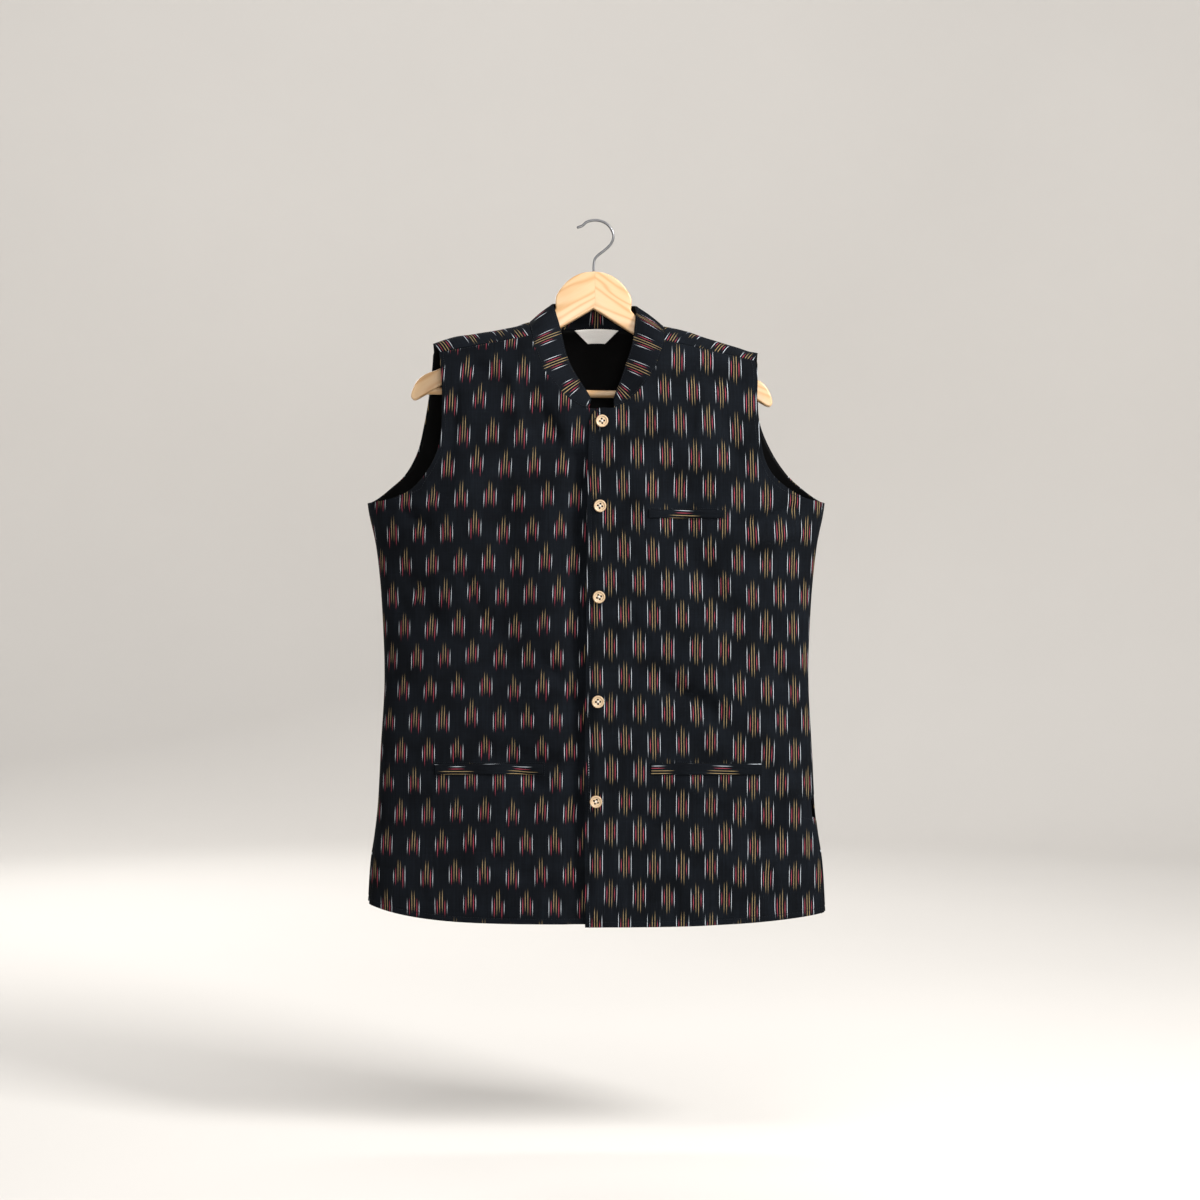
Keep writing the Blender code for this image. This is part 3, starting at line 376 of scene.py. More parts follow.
@dataclass(frozen=True)
class Waviness:
    """Soft uneven height of hanging cloth, from a seeded lattice of heights."""

    seed: int
    cell_x: float
    cell_z: float
    height: float

    def at(self, x: Array, z: Array) -> Array:
        """Height at each place."""
        lattice = np.random.default_rng(self.seed).uniform(-1, 1, (64, 64))
        across, down = np.asarray(x) / self.cell_x + 31, np.asarray(z) / self.cell_z + 61
        column, row = np.floor(across).astype(int), np.floor(down).astype(int)
        part_x, part_z = soft_step(0, 1, across - column), soft_step(0, 1, down - row)
        corner = [lattice[(row + i) % 64, (column + j) % 64] for i in (0, 1) for j in (0, 1)]
        low = corner[0] + (corner[1] - corner[0]) * part_x
        high = corner[2] + (corner[3] - corner[2]) * part_x
        return self.height * (low + (high - low) * part_z)


# The skin


class BoltTable:
    """Lengths along the skin's section and over its shoulder, by place and by depth."""

    PLACES = np.linspace(0, 1, 401)
    RATIOS = np.linspace(0, 0.6, 61)

    def __init__(self) -> None:
        """Adds up both kinds of length for every ratio of depth to width."""
        rise = (1 - self.PLACES**SECTION_POWER) ** (1 / SECTION_POWER)
        turn = self.PLACES * math.pi / 2
        self.across = self._summed(self.PLACES, rise)
        self.over = self._summed(1 - np.cos(turn), np.sin(turn))

    def _summed(self, flat: Array, rise: Array) -> Array:
        """Length of a curve up to each place, for each depth."""
        run = np.hypot(np.diff(flat)[None, :], np.diff(rise)[None, :] * self.RATIOS[:, None])
        return np.pad(np.cumsum(run, axis=1), ((0, 0), (1, 0)))

    def read(self, table: Array, place: Array, ratio: Array) -> Array:
        """Length at each place, for each depth.

        Args:
            table: one of the two summed tables.
            place: from 0 to 1.
            ratio: depth as a share of the width.

        Returns:
            Lengths in units of the width.
        """
        column = np.clip(place, 0, 1) * (len(self.PLACES) - 1)
        row = np.clip(ratio / self.RATIOS[-1], 0, 1) * (len(self.RATIOS) - 1)
        left = np.minimum(column.astype(int), len(self.PLACES) - 2)
        low = np.minimum(row.astype(int), len(self.RATIOS) - 2)
        part, share = column - left, row - low
        near = table[low, left] * (1 - part) + table[low, left + 1] * part
        far = table[low + 1, left] * (1 - part) + table[low + 1, left + 1] * part
        return near * (1 - share) + far * share


TABLE = BoltTable()


@dataclass(frozen=True)
class Skin:
    """One face of the hollow form that all the cloth lies on."""

    side: Side

    def _parts(self, x: Array, z: Array) -> tuple[Array, Array, Array, Array]:
        """Depth, squared section value, squared shoulder value and fold height at each place."""
        front = self.side is Side.FRONT
        depth = column_of(GIRTH, "front" if front else "back", z)
        across = np.abs(x) / column_of(GIRTH, "half_width", z)
        inside = 1 - across**SECTION_POWER
        section = np.sign(inside) * np.abs(inside) ** (2 / SECTION_POWER)
        below = (column_of(RIDGE, "z", x) - z) / SHOULDER_DROP
        shoulder = 1 - (1 - np.minimum(below, 1)) ** 2
        calm = np.clip(1 - across**8, 0, 1) * np.clip(shoulder, 0, 1) ** 2
        fold = crease_height(FRONT_FOLDS if front else BACK_FOLDS, x, z) * calm
        return depth, section, shoulder, fold

    def _opening(self, z: Array) -> Array:
        """How far the face stands from the side seam's plane."""
        seam = 0.5 * SEAM_GAP * soft_step(-310, UNDERARM_Z, z)
        return seam + VENT_OPEN * soft_step(VENT_TOP_Z, HEM_BACK_MIDDLE, z) ** 1.5

    def point(self, x: Array, z: Array) -> Array:
        """Places on the skin, seen from the front at x and z."""
        x, z = np.broadcast_arrays(np.asarray(x, float), np.asarray(z, float))
        depth, section, shoulder, fold = self._parts(x, z)
        out = depth * np.sqrt(np.maximum(section * shoulder, 0)) + fold + self._opening(z)
        return np.stack([x, self.side.value * out, z], axis=-1)

    def normal(self, points: Array) -> Array:
        """Outward normal at places on the skin."""

        def height(at: Array) -> Array:
            """How far places lie outside the skin."""
            depth, section, shoulder, fold = self._parts(at[..., 0], at[..., 2])
            out = (self.side.value * at[..., 1] - self._opening(at[..., 2]) - fold) / depth
            return np.sign(out) * out**2 - section * shoulder

        steps = 0.4 * np.eye(3)
        slopes = [height(points + step) - height(points - step) for step in steps]
        return unit(np.stack(slopes, axis=-1))

    def bolt(self, x: Array, z: Array, in_front: Array | bool = False) -> Array:
        """Where the cloth at each place lay on the bolt.

        Args:
            x: places across.
            z: heights.
            in_front: true where a back panel's cloth has come over the ridge to the front.

        Returns:
            Lengths across and along the warp.
        """
        half = column_of(GIRTH, "half_width", z)
        depth = column_of(GIRTH, "front" if self.side is Side.FRONT else "back", z)
        share = np.minimum(np.abs(x) / half, 1)
        across = np.sign(x) * half * TABLE.read(TABLE.across, share, depth / half)
        rise = depth * (1 - share**SECTION_POWER) ** (1 / SECTION_POWER) / SHOULDER_DROP
        ridge = column_of(RIDGE, "z", x)
        below = np.clip((ridge - z) / SHOULDER_DROP, 0, 1)
        turn = np.arccos(1 - below) * 2 / math.pi
        whole = TABLE.read(TABLE.over, np.ones_like(turn), rise)
        over = TABLE.read(TABLE.over, turn, rise)
        up = np.where(in_front, whole + over, whole - over)
        along = np.minimum(z, ridge - SHOULDER_DROP) + SHOULDER_DROP * up
        return np.stack([across, along], axis=-1)


def side_x(z: Array) -> Array:
    """Half width of the skin at a height."""
    return column_of(GIRTH, "half_width", z)


# Grids of cloth


def places_along(lines: Array, reach: Array) -> Array:
    """The place at its own distance along each line of points."""
    runs = lengths_along(lines, 1)
    return np.array([
        [np.interp(far, run, line[:, axis]) for axis in range(3)]
        for line, run, far in zip(lines, runs, reach)
    ])


class Border(Enum):
    """Border of a grid; that of an upright one is its column."""

    FIRST = 0
    LAST = -1
    TOP = "top"
    FOOT = "foot"


@dataclass
class ClothGrid:
    """Grid of points on a panel's outer face, in rows from the top, with what the points carry."""

    points: Array
    normals: Array
    bolt: Array
    present: Array = True

    def __post_init__(self) -> None:
        """Marks every point as present, unless some are given as missing."""
        self.present = np.broadcast_to(self.present, self.points.shape[:2])

    def cells(self) -> Array:
        """Which cells have all four corners."""
        here = self.present
        return here[:-1, :-1] & here[1:, :-1] & here[:-1, 1:] & here[1:, 1:]

    def edge_distance(self) -> Array:
        """Distance of each point from the panel's nearest edge."""
        around = np.pad(self.cells(), 1).astype(int)
        count = around[:-1, :-1] + around[1:, :-1] + around[:-1, 1:] + around[1:, 1:]
        border = self.points[(count > 0) & (count < 4)]
        distance = np.full(self.present.shape, np.inf)
        for start in range(0, len(distance), 8):
            rows = self.points[start : start + 8]
            gap = np.linalg.norm(rows[:, :, None, :] - border[None, None, :, :], axis=-1)
            distance[start : start + 8] = gap.min(axis=-1)
        return distance

    def lifted(self, height: Array | float) -> "ClothGrid":
        """The same grid, moved along its normals."""
        moved = self.points + self.normals * np.asarray(height)[..., None]
        return ClothGrid(moved, self.normals, self.bolt, self.present)

    def part(self, rows: slice, columns: slice) -> "ClothGrid":
        """Part of the grid."""
        kinds = (self.points, self.normals, self.bolt, self.present)
        return ClothGrid(*(kind[rows, columns] for kind in kinds))

    def span(self, column: int, top_z: float, bottom_z: float) -> slice:
        """Rows whose point in one column lies between two heights."""
        z = self.points[:, column, 2]
        inside = np.nonzero((z < top_z) & (z > bottom_z))[0]
        return slice(int(inside[0]), int(inside[-1]) + 1)

    def row_above_end(self, height: float) -> int:
        """First row that lies less than a height above the last one, along the cloth."""
        above = lengths_along(self.points[::-1], 0)[::-1][:, 0]
        return int(np.argmax(above < height))

    def line_beside(self, border: Border, inset: float, span: slice) -> Array:
        """Line at a distance inside a border.

        Args:
            border: the border.
            inset: distance from it, along the cloth.
            span: rows or columns that the line passes.

        Returns:
            Points of the line.
        """
        upright = border in (Border.FIRST, Border.LAST)
        points = (self.points if upright else self.points.transpose(1, 0, 2))[span]
        if border in (Border.LAST, Border.FOOT):
            points = points[:, ::-1]
        slant = np.ones(len(points))
        if upright:
            along, across = np.gradient(points[:, 0], axis=0), points[:, 3] - points[:, 0]
            slant = np.maximum(np.linalg.norm(np.cross(unit(along), unit(across)), axis=1), 0.25)
        return places_along(points, inset / slant)


def linked(name: str, data: bpy.types.ID) -> Piece:
    """New object in the scene."""
    made = bpy.data.objects.new(name, data)
    bpy.context.scene.collection.objects.link(made)
    return made


def carry(mesh: bpy.types.Mesh, vectors: Array) -> None:
    """Keeps a vector on each point of a mesh, in metres, for the finishes to read."""
    carried = mesh.attributes.new(BOLT, "FLOAT_VECTOR", "POINT")
    carried.data.foreach_set("vector", vectors.astype(np.float32).ravel())


def mesh_object(
    name: str, points: Array, faces: Sequence, bolt: Array | None = None, edges: Sequence = ()
) -> Piece:
    """Object of one smooth mesh.

    Args:
        name: the piece's name.
        points: places in millimetres.
        faces: corner numbers of each face.
        bolt: where each point lay on the bolt, if it is patterned cloth.
        edges: ends of each loose edge.

    Returns:
        The object, linked to the scene.
    """
    mesh = bpy.data.meshes.new(name)
    mesh.from_pydata((points * MM).tolist(), edges, faces)
    if bolt is not None:
        carry(mesh, np.pad(bolt * MM, ((0, 0), (0, 1))))
    mesh.shade_smooth()
    return linked(name, mesh)


def rolled_wall(name: str, grid: ClothGrid, wall: float, drop: float) -> Piece:
    """Closed wall of cloth whose cut edges are rounded over, as a turned and pressed edge is.

    Args:
        name: the piece's name.
        grid: the outer face.
        wall: thickness of the cloth.
        drop: how far the outer face falls at the edge.

    Returns:
        The object, linked to the scene.
    """
    reach = np.clip(1 - grid.edge_distance() / EDGE_ROLL, 0, 1)
    fall = drop * (1 - np.sqrt(1 - reach**2))
    heights = (-fall, fall * 0.7 - wall)
    outer, inner = (grid.lifted(height).points.reshape(-1, 3) for height in heights)
    count, cells = len(outer), grid.cells()
    number = np.arange(count).reshape(grid.points.shape[:2])
    corners = (number[:-1, :-1], number[1:, :-1], number[1:, 1:], number[:-1, 1:])
    front = np.stack([corner[cells] for corner in corners], axis=1)
    first, second, third, fourth = (outer[corner] for corner in front.T)
    facing = np.cross(third - first, fourth - second)
    if (facing * grid.normals.reshape(-1, 3)[front[:, 0]]).sum() < 0:
        front = front[:, ::-1]
    starts, ends = front.ravel(), np.roll(front, -1, axis=1).ravel()
    open_side = ~np.isin(starts * count + ends, ends * count + starts)
    starts, ends = starts[open_side], ends[open_side]
    rim = np.stack([ends, starts, starts + count, ends + count], axis=1)
    faces = np.concatenate([front, front[:, ::-1] + count, rim])
    used, packed = np.unique(faces, return_inverse=True)
    points = np.concatenate([outer, inner])[used]
    bolt = np.tile(grid.bolt.reshape(-1, 2), (2, 1))[used]
    return mesh_object(name, points, packed.reshape(faces.shape).tolist(), bolt)


def close_to_edge(length: Array, even: int) -> Array:
    """Rising places along a line: even ones, and a few near both ends for the rolled edge."""
    near = np.array([0, 0.35, 0.8, 1.3])
    middle = np.linspace(3.2, length - 3.2, even)
    return np.concatenate([near, middle, length - near[::-1]])


def spread_row(skin: Skin, start: Edge, end: Edge, bow: float, even: int) -> tuple[Array, Array]:
    """One row of a panel between two edges, spaced evenly along the cloth.

    Args:
        skin: the face that the row lies on.
        start: one end.
        end: the other end.
        bow: how late the height changes from the start to the end.
        even: how many even places the row has.

    Returns:
        x and z of each place.
    """

    def height(x: Array) -> Array:
        """Height of the row at each place across."""
        part = np.clip((x - start.x) / (end.x - start.x), 0, 1)
        return start.z + (end.z - start.z) * part**bow

    share = np.linspace(0, 1, 361)
    limit = float(side_x(start.z + (end.z - start.z) * 0.5**bow))
    turns = np.arcsin(np.clip([start.x / limit, end.x / limit], -1, 1))
    x = limit * np.sin(turns[0] + (turns[1] - turns[0]) * share)
    x[0], x[-1] = start.x, end.x
    z = height(x)
    half = side_x(z)
    run = lengths_along(skin.point(np.clip(x, -half, half), z), 0)
    x = np.interp(close_to_edge(run[-1], even), run, x)
    return x, height(x)


# The panels


@dataclass(kw_only=True)
class Panel:
    """What the fronts and the back share: face, hang, lining and flat size."""

    side: Side
    creases: tuple[Crease, ...]
    lining_from: int
    lining_depth: float
    flat: Pair
    flat_area: float
    deeper: float = 2.9
    calm_at_edge: float = 16.0
    waves: tuple[Waviness, ...] = (
        Waviness(3, 92, 165, 1.9), Waviness(5, 37, 84, 1), Waviness(8, 15, 30, 0.34),
    )

    def grid(self) -> ClothGrid:
        """The outer face, before it hangs in creases."""
        raise NotImplementedError

    def hang(self) -> ClothGrid:
        """The outer face with its creases and waves, calm near the seams, and the hem's groove."""
        grid = self.grid()
        x, z = grid.points[..., 0], grid.points[..., 2]
        height = sum(layer.at(x + 500 * self.side.value, z) for layer in self.waves)
        height += self.deeper * crease_height(self.creases, x, z)
        calm = 0.18 + 0.82 * soft_step(0, self.calm_at_edge, grid.edge_distance())
        above_hem = lengths_along(grid.points[::-1], 0)[::-1]
        groove = -0.4 * np.exp(-(((above_hem - HEM_STITCH_ABOVE) / 0.9) ** 2))
        return grid.lifted(height * calm + groove)


@dataclass(kw_only=True)
class FrontPanel(Panel):
    """One front: outer cloth and the lining behind it."""

    wearer: Wearer
    neck: list[Edge]
    armhole: tuple[Edge, ...]
    front_edge: tuple[Edge, ...]
    hem: Hem
    corners: tuple[int, ...] = ()
    sink: float = 0.0
    notch_depth: float = 0.0
    side: Side = Side.FRONT
    creases: tuple[Crease, ...] = FRONT_CREASES
    lining_from: int = 4
    lining_depth: float = 1.45
    flat: Pair = (0.33, 0.73)
    flat_area: float = 0.187
    columns: int = 104
    body_rows: int = 15
    body_step: float = 33.0
    rows_per_step: int = 10

    def row_numbers(self) -> Array:
        """Whole and fractional rows, closer together at the shoulder and at the hem."""
        upper = len(self.armhole)
        above = np.arange(0.2, upper, 0.2)
        below = upper + np.arange(0, self.body_rows - 0.45, 1 / self.rows_per_step)
        hem = upper + self.body_rows - HEM_ROWS / self.body_step
        return np.concatenate([[0, 0.03, 0.06, 0.1], above, below, hem])

    def grid(self) -> ClothGrid:
        """The front's outer face, before it hangs in creases."""
        sign, skin = self.wearer.value, Skin(self.side)
        inner, outer = [*self.neck, *self.front_edge], list(self.armhole)
        upper, top_z = len(inner), 2 * inner[-1].z - inner[-2].z
        half = self.wearer.name.lower()
        inner.append(Edge(float(column_of(LAP_EDGE, half, top_z)), top_z))
        outer.append(Edge(sign * float(side_x(UNDERARM_Z)), UNDERARM_Z))
        for edge in (inner, outer):
            edge[0] = Edge(edge[0].x, edge[0].z - 0.5 * SEAM_GAP)
        numbers = self.row_numbers()
        starts = edge_path(inner, self.corners, np.minimum(numbers, upper))
        ends = edge_path(outer, (), np.minimum(numbers, upper))
        part = np.clip((numbers - upper) / self.body_rows, 0, 1)
        body = part > 0
        starts[body, 1] = top_z + (self.hem.edge - top_z) * part[body]
        ends[body, 1] = UNDERARM_Z + (self.hem.side - UNDERARM_Z) * part[body]
        starts[body, 0] = column_of(LAP_EDGE, half, starts[body, 1])
        z = ends[body, 1]
        pulled = VENT_PULLED_IN * soft_step(VENT_TOP_Z, VENT_FULL_Z, z)
        notch = self.notch_depth * soft_step(*NOTCH_TOP, z) * soft_step(*NOTCH_FOOT, z)
        ends[body, 0] = sign * (side_x(z) - pulled - notch)
        bows = 1 + (self.hem.bow - 1) * part**3
        rows = [
            spread_row(skin, Edge(*start), Edge(*end), bow, self.columns)
            for start, end, bow in zip(starts, ends, bows)
        ]
        x, z = (np.array([row[axis] for row in rows]) for axis in (0, 1))
        points = skin.point(x, z)
        flat = ClothGrid(points, skin.normal(points), skin.bolt(x, z))
        return flat.lifted(-self.sink * soft_step(*LAP_SINK_X, x))


NECK_EDGE = [Edge(row.x, row.z) for row in NECK]
RIGHT_FRONT = FrontPanel(
    wearer=Wearer.RIGHT, neck=NECK_EDGE[SEAM_ROW_RIGHT::-1], armhole=ARMHOLE_RIGHT,
    front_edge=FRONT_EDGE_RIGHT, hem=HEM_RIGHT, corners=(8, 9), sink=LAP_SINK,
)
LEFT_FRONT = FrontPanel(
    wearer=Wearer.LEFT, neck=NECK_EDGE[SEAM_ROW_LEFT:], armhole=ARMHOLE_LEFT,
    front_edge=FRONT_EDGE_LEFT, hem=HEM_LEFT, notch_depth=5,
)


@dataclass(kw_only=True)
class BackPanel(Panel):
    """The back in one piece, which comes over both shoulders to the forward seams."""

    side: Side = Side.BACK
    creases: tuple[Crease, ...] = BACK_CREASES
    lining_from: int = 31
    lining_depth: float = 2.35
    flat: Pair = (0.62, 0.78)
    flat_area: float = 0.41
    ridge_tips: Pair = (-199.5, 197)
    shoulder_width: float = 110.0
    shoulder_columns: int = 52
    neck_columns: int = 56
    armhole_rows: int = 62
    body_rows: int = 130
    body_length: float = 495.0
    shoulder_steps: int = 9

    def _angle(self, side: float, x: Array, z: Array) -> Array:
        """Place round the shoulder ridge: 0 on it, negative in front, positive behind."""
        below = np.clip((column_of(RIDGE, "z", x) - z) / SHOULDER_DROP, 0, 1)
        return side * np.arccos(1 - below)

    def _shoulder(
        self, seam: int, ridge: int, last: int, tip: Edge, ridge_x: float
    ) -> tuple[Array, Array]:
        """Rows from the forward seam over the ridge to the first full row.

        Args:
            seam: neck row at the forward seam.
            ridge: neck row on the ridge.
            last: neck row where the full rows begin.
            tip: armhole end of the forward seam.
            ridge_x: armhole end of the ridge.

        Returns:
            x and angle of each place, from the armhole to the neck.
        """
        step = 1 if last > seam else -1
        necks, sides = (column[seam : last + step : step] for column in (NECK, NECK_SIDES))
        ridge_at, final = abs(ridge - seam), len(necks) - 1
        fine = np.linspace(0, final, final * self.shoulder_steps + 1)
        numbers = np.unique(np.concatenate([[0, 0.03, 0.07, 0.12], fine]))
        neck_x = curve_through(np.arange(final + 1), [neck.x for neck in necks], numbers)
        angles = [
            float(self._angle(side.value, neck.x, neck.z)) for side, neck in zip(sides, necks)
        ]
        neck_angle = curve_through(np.arange(final + 1), angles, numbers)
        share = np.minimum(numbers / ridge_at, 1)
        tip_x = tip.x + (ridge_x - tip.x) * np.sin(share * math.pi / 2)
        part = close_to_edge(self.shoulder_width, self.shoulder_columns) / self.shoulder_width
        x = tip_x[:, None] + (neck_x - tip_x)[:, None] * part[None, :]
        foot = necks[0]
        seam_z = tip.z + (foot.z - tip.z) * (x - tip.x) / (foot.x - tip.x) + 0.5 * SEAM_GAP
        ahead = self._angle(-1, x, seam_z) * (1 - numbers / ridge_at)[:, None]
        behind = (angles[-1] * (numbers - ridge_at) / (final - ridge_at))[:, None]
        angle = np.where((numbers > ridge_at)[:, None], behind, ahead)
        to_neck = (neck_angle - angle[:, -1])[:, None] * part[None, :] ** 3
        return x, angle + np.where((numbers > 0)[:, None], to_neck, 0)

    def _at_angle(self, x: Array, angle: Array) -> ClothGrid:
        """Places round the shoulder ridge."""
        ridge, ahead = column_of(RIDGE, "z", x), angle < 0
        z = ridge - SHOULDER_DROP * (1 - np.cos(angle))
        front, back = Skin(Side.FRONT), Skin(Side.BACK)
        points = np.where(ahead[..., None], front.point(x, z), back.point(x, z))
        normals = np.where(ahead[..., None], front.normal(points), back.normal(points))
        bolt = back.bolt(x, z, ahead)
        skew = 0.45 * np.where(ahead, bolt[..., 1] - back.bolt(x, ridge)[..., 1], 0)
        bolt[..., 0] += np.sign(x) * skew
        return ClothGrid(points, normals, bolt)

    def grid(self) -> ClothGrid:
        """The back's outer face, before it hangs in creases."""
        right = self._at_angle(*self._shoulder(
            SEAM_ROW_RIGHT, RIDGE_ROW_RIGHT, FIRST_FULL_ROW, ARMHOLE_RIGHT[0], self.ridge_tips[0]
        ))
        left = self._at_angle(*self._shoulder(
            SEAM_ROW_LEFT, RIDGE_ROW_LEFT, LAST_FULL_ROW, ARMHOLE_LEFT[0], self.ridge_tips[1]
        ))
        skin = Skin(Side.BACK)
        necks = np.array([(neck.x, neck.z) for neck in NECK[FIRST_FULL_ROW : LAST_FULL_ROW + 1]])
        rows_of_neck = np.linspace(0, len(necks) - 1, self.neck_columns + 2)[1:-1]
        neckline = curve_through(np.arange(len(necks)), necks, rows_of_neck)
        sides = (right.points[-1, :, ::2], neckline, left.points[-1, ::-1, ::2])
        x, z = self._full_rows(*np.concatenate(sides).T)
        points = skin.point(x, z)
        full = ClothGrid(points, skin.normal(points), skin.bolt(x, z))
        gap = len(neckline)

        def joined(kind: str) -> Array:
            """One kind of value over both shoulders and below them."""
            ours, theirs = getattr(right, kind), getattr(left, kind)[:, ::-1]
            hole = np.zeros((len(ours), gap, *ours.shape[2:]), ours.dtype)
            upper = np.concatenate([ours, hole, theirs], axis=1)[:-1]
            return np.concatenate([upper, getattr(full, kind)], axis=0)

        return ClothGrid(joined("points"), joined("normals"), joined("bolt"), joined("present"))

    def _full_rows(self, top_x: Array, top_z: Array) -> tuple[Array, Array]:
        """Rows from the first full one to the hem.

        Args:
            top_x: x along the first full row.
            top_z: z along it.

        Returns:
            x and z of each place.
        """
        skin = Skin(Side.BACK)
        start, end = Edge(top_x[0], top_z[0]), Edge(top_x[-1], top_z[-1])
        shares = (top_x - start.x) / (end.x - start.x)
        lift = top_z - (start.z + (end.z - start.z) * shares)
        columns = len(top_x)
        parts = 1 - (1 - np.linspace(0, 1, self.armhole_rows + 1)) ** 1.25
        hem = 1 - HEM_ROWS / self.body_length
        bodies = np.concatenate([np.linspace(0, hem[0] - 0.006, self.body_rows + 1)[1:], hem])
        steps = [(part, 0) for part in parts[1:]] + [(1, body) for body in bodies]
        lines_x, lines_z = [top_x], [top_z]
        for part, body in steps:
            right_z = start.z + (UNDERARM_Z - start.z) * part + (HEM_BACK_RIGHT - UNDERARM_Z) * body
            left_z = end.z + (UNDERARM_Z - end.z) * part + (HEM_BACK_LEFT - UNDERARM_Z) * body
            if part < 1:
                right_x = float(column_of(BACK_ARMHOLE, "right", right_z))
                left_x = float(column_of(BACK_ARMHOLE, "left", left_z))
            else:
                pushed = VENT_PUSHED_OUT * soft_step(VENT_TOP_Z, VENT_FULL_Z, [right_z, left_z])
                right_x = -float(side_x(right_z)) - pushed[0]
                left_x = float(side_x(left_z)) + pushed[1]
            blend = float(soft_step(0, 1, part))
            right, left = Edge(right_x, right_z), Edge(left_x, left_z)
            x, _ = spread_row(skin, right, left, 1, columns - 8)
            share = shares * (1 - blend) + (x - right_x) / (left_x - right_x) * blend
            x = right_x + (left_x - right_x) * share
            middle = HEM_BACK_MIDDLE - 0.5 * (HEM_BACK_RIGHT + HEM_BACK_LEFT)
            sag = middle * (1 - np.abs(2 * share - 1) ** 4) * body**3
            lines_x.append(x)
            level = right_z + (left_z - right_z) * share
            lines_z.append(level + lift * (1 - part) ** 1.5 + sag)
        return np.array(lines_x), np.array(lines_z)


class Carrier:
    """Outer face of a finished piece, to lay smaller ones on."""

    def __init__(self, piece: Piece) -> None:
        """Reads the piece's mesh into a search tree, in millimetres."""
        points = [vertex.co / MM for vertex in piece.data.vertices]
        faces = [tuple(face.vertices) for face in piece.data.polygons]
        self.tree = BVHTree.FromPolygons(points, faces)

    def under(self, x: Array | float, z: Array | float) -> tuple[Array, Array]:
        """Finds the cloth straight behind places that are seen from the front.

        Args:
            x: places across.
            z: heights.

        Returns:
            Points of the cloth, and the outward normals there.
        """
        x, z = np.broadcast_arrays(x, z)
        found = []
        for across, height in zip(x.ravel().tolist(), z.ravel().tolist()):
            start = Vector((across, -400, height))
            point, normal, _, _ = self.tree.ray_cast(start, Vector((0, 1, 0)))
            found.append((point, normal if normal.y < 0 else -normal))
        both = np.array(found).reshape(*x.shape, 2, 3)
        return both[..., 0, :], both[..., 1, :]

    def beside(self, line: Array, height: float) -> Array:
        """A line moved onto the cloth and a little off it."""
        found = [self.tree.find_nearest(Vector(place))[:2] for place in line]
        return np.array([point + normal * height for point, normal in found])


# Collar, welts, label


@dataclass
class Collar:
    """Stand collar: one band from the right front end round the neck to the left front end."""

    steps_along: int = 8
    levels: int = 16
    foot_seam: float = -0.2
    bulge: float = 1.2
    tuck: float = 0.7
    to_front: Pair = (60, 110)
    right_motifs: Pair = (19, 1.5)
    left_motifs: Pair = (16, -3)
    flat: Pair = (0.44, 0.035)

    def grid(self) -> ClothGrid:
        """The collar's outer face, in rows from its foot to its top edge."""
        feet, ways = [], []
        for number, (row, side) in enumerate(zip(NECK, NECK_SIDES)):
            skin = Skin(side)
            point = skin.point(row.x, row.z)
            way = skin.normal(point)
            sink = LAP_SINK * float(soft_step(*LAP_SINK_X, row.x))
            feet.append(point - way * (sink if number < SEAM_ROW_RIGHT else 0))
            ways.append(way)
        feet, last = np.array(feet), len(NECK) - 1
        tops = np.array([(row.top_x, row.top_y, row.top_z) for row in NECK])
        chord = lengths_along(feet, 0)
        rows = np.linspace(0, last, last * self.steps_along + 1)
        rows = np.unique([*rows, 0.06, 0.14, last - 0.06, last - 0.14])
        at = np.interp(rows, np.arange(last + 1), chord)
        foot, way, top = (curve_through(chord, kind, at) for kind in (feet, ways, tops))
        way, along = unit(way), unit(np.gradient(foot, axis=0))
        rise = np.cross(way, along)
        rise *= np.sign((rise * (top - foot)).sum(axis=1, keepdims=True))
        behind = 1 - soft_step(*self.to_front, np.abs(at - chord[CENTRE_BACK_ROW]))
        start = foot + rise * (self.foot_seam - self.tuck * behind)[:, None]
        out = unit(np.cross(top - start, along))
        out *= np.sign((out * way).sum(axis=1, keepdims=True))
        height = np.linalg.norm(top - start, axis=1).mean()
        part = close_to_edge(height, self.levels)[:, None] / height
        raised = self.bulge * np.sin(math.pi * part)
        points = start + (top - start) * part[..., None] + out * raised[..., None]
        run = lengths_along(points[len(part) // 2], 0)
        run -= np.interp(CENTRE_BACK_ROW, rows, run)
        to_front = soft_step(*self.to_front, np.abs(run))
        shift, drop = (
            np.where(run < 0, right, left) * to_front
            for right, left in zip(self.right_motifs, self.left_motifs)
        )
        across = np.broadcast_to(run + shift, points.shape[:2])
        bolt = np.stack([across, (part - 0.5) * height + drop], axis=-1)
        return ClothGrid(points, np.broadcast_to(out, points.shape), bolt)

    def build(self, grid: ClothGrid) -> Piece:
        """The collar with a soft unevenness."""
        waves = Waviness(21, 26, 26, 0.35).at(grid.bolt[..., 0], grid.bolt[..., 1])
        return rolled_wall("collar_cloth", grid.lifted(waves), COLLAR_WALL, 0.95)


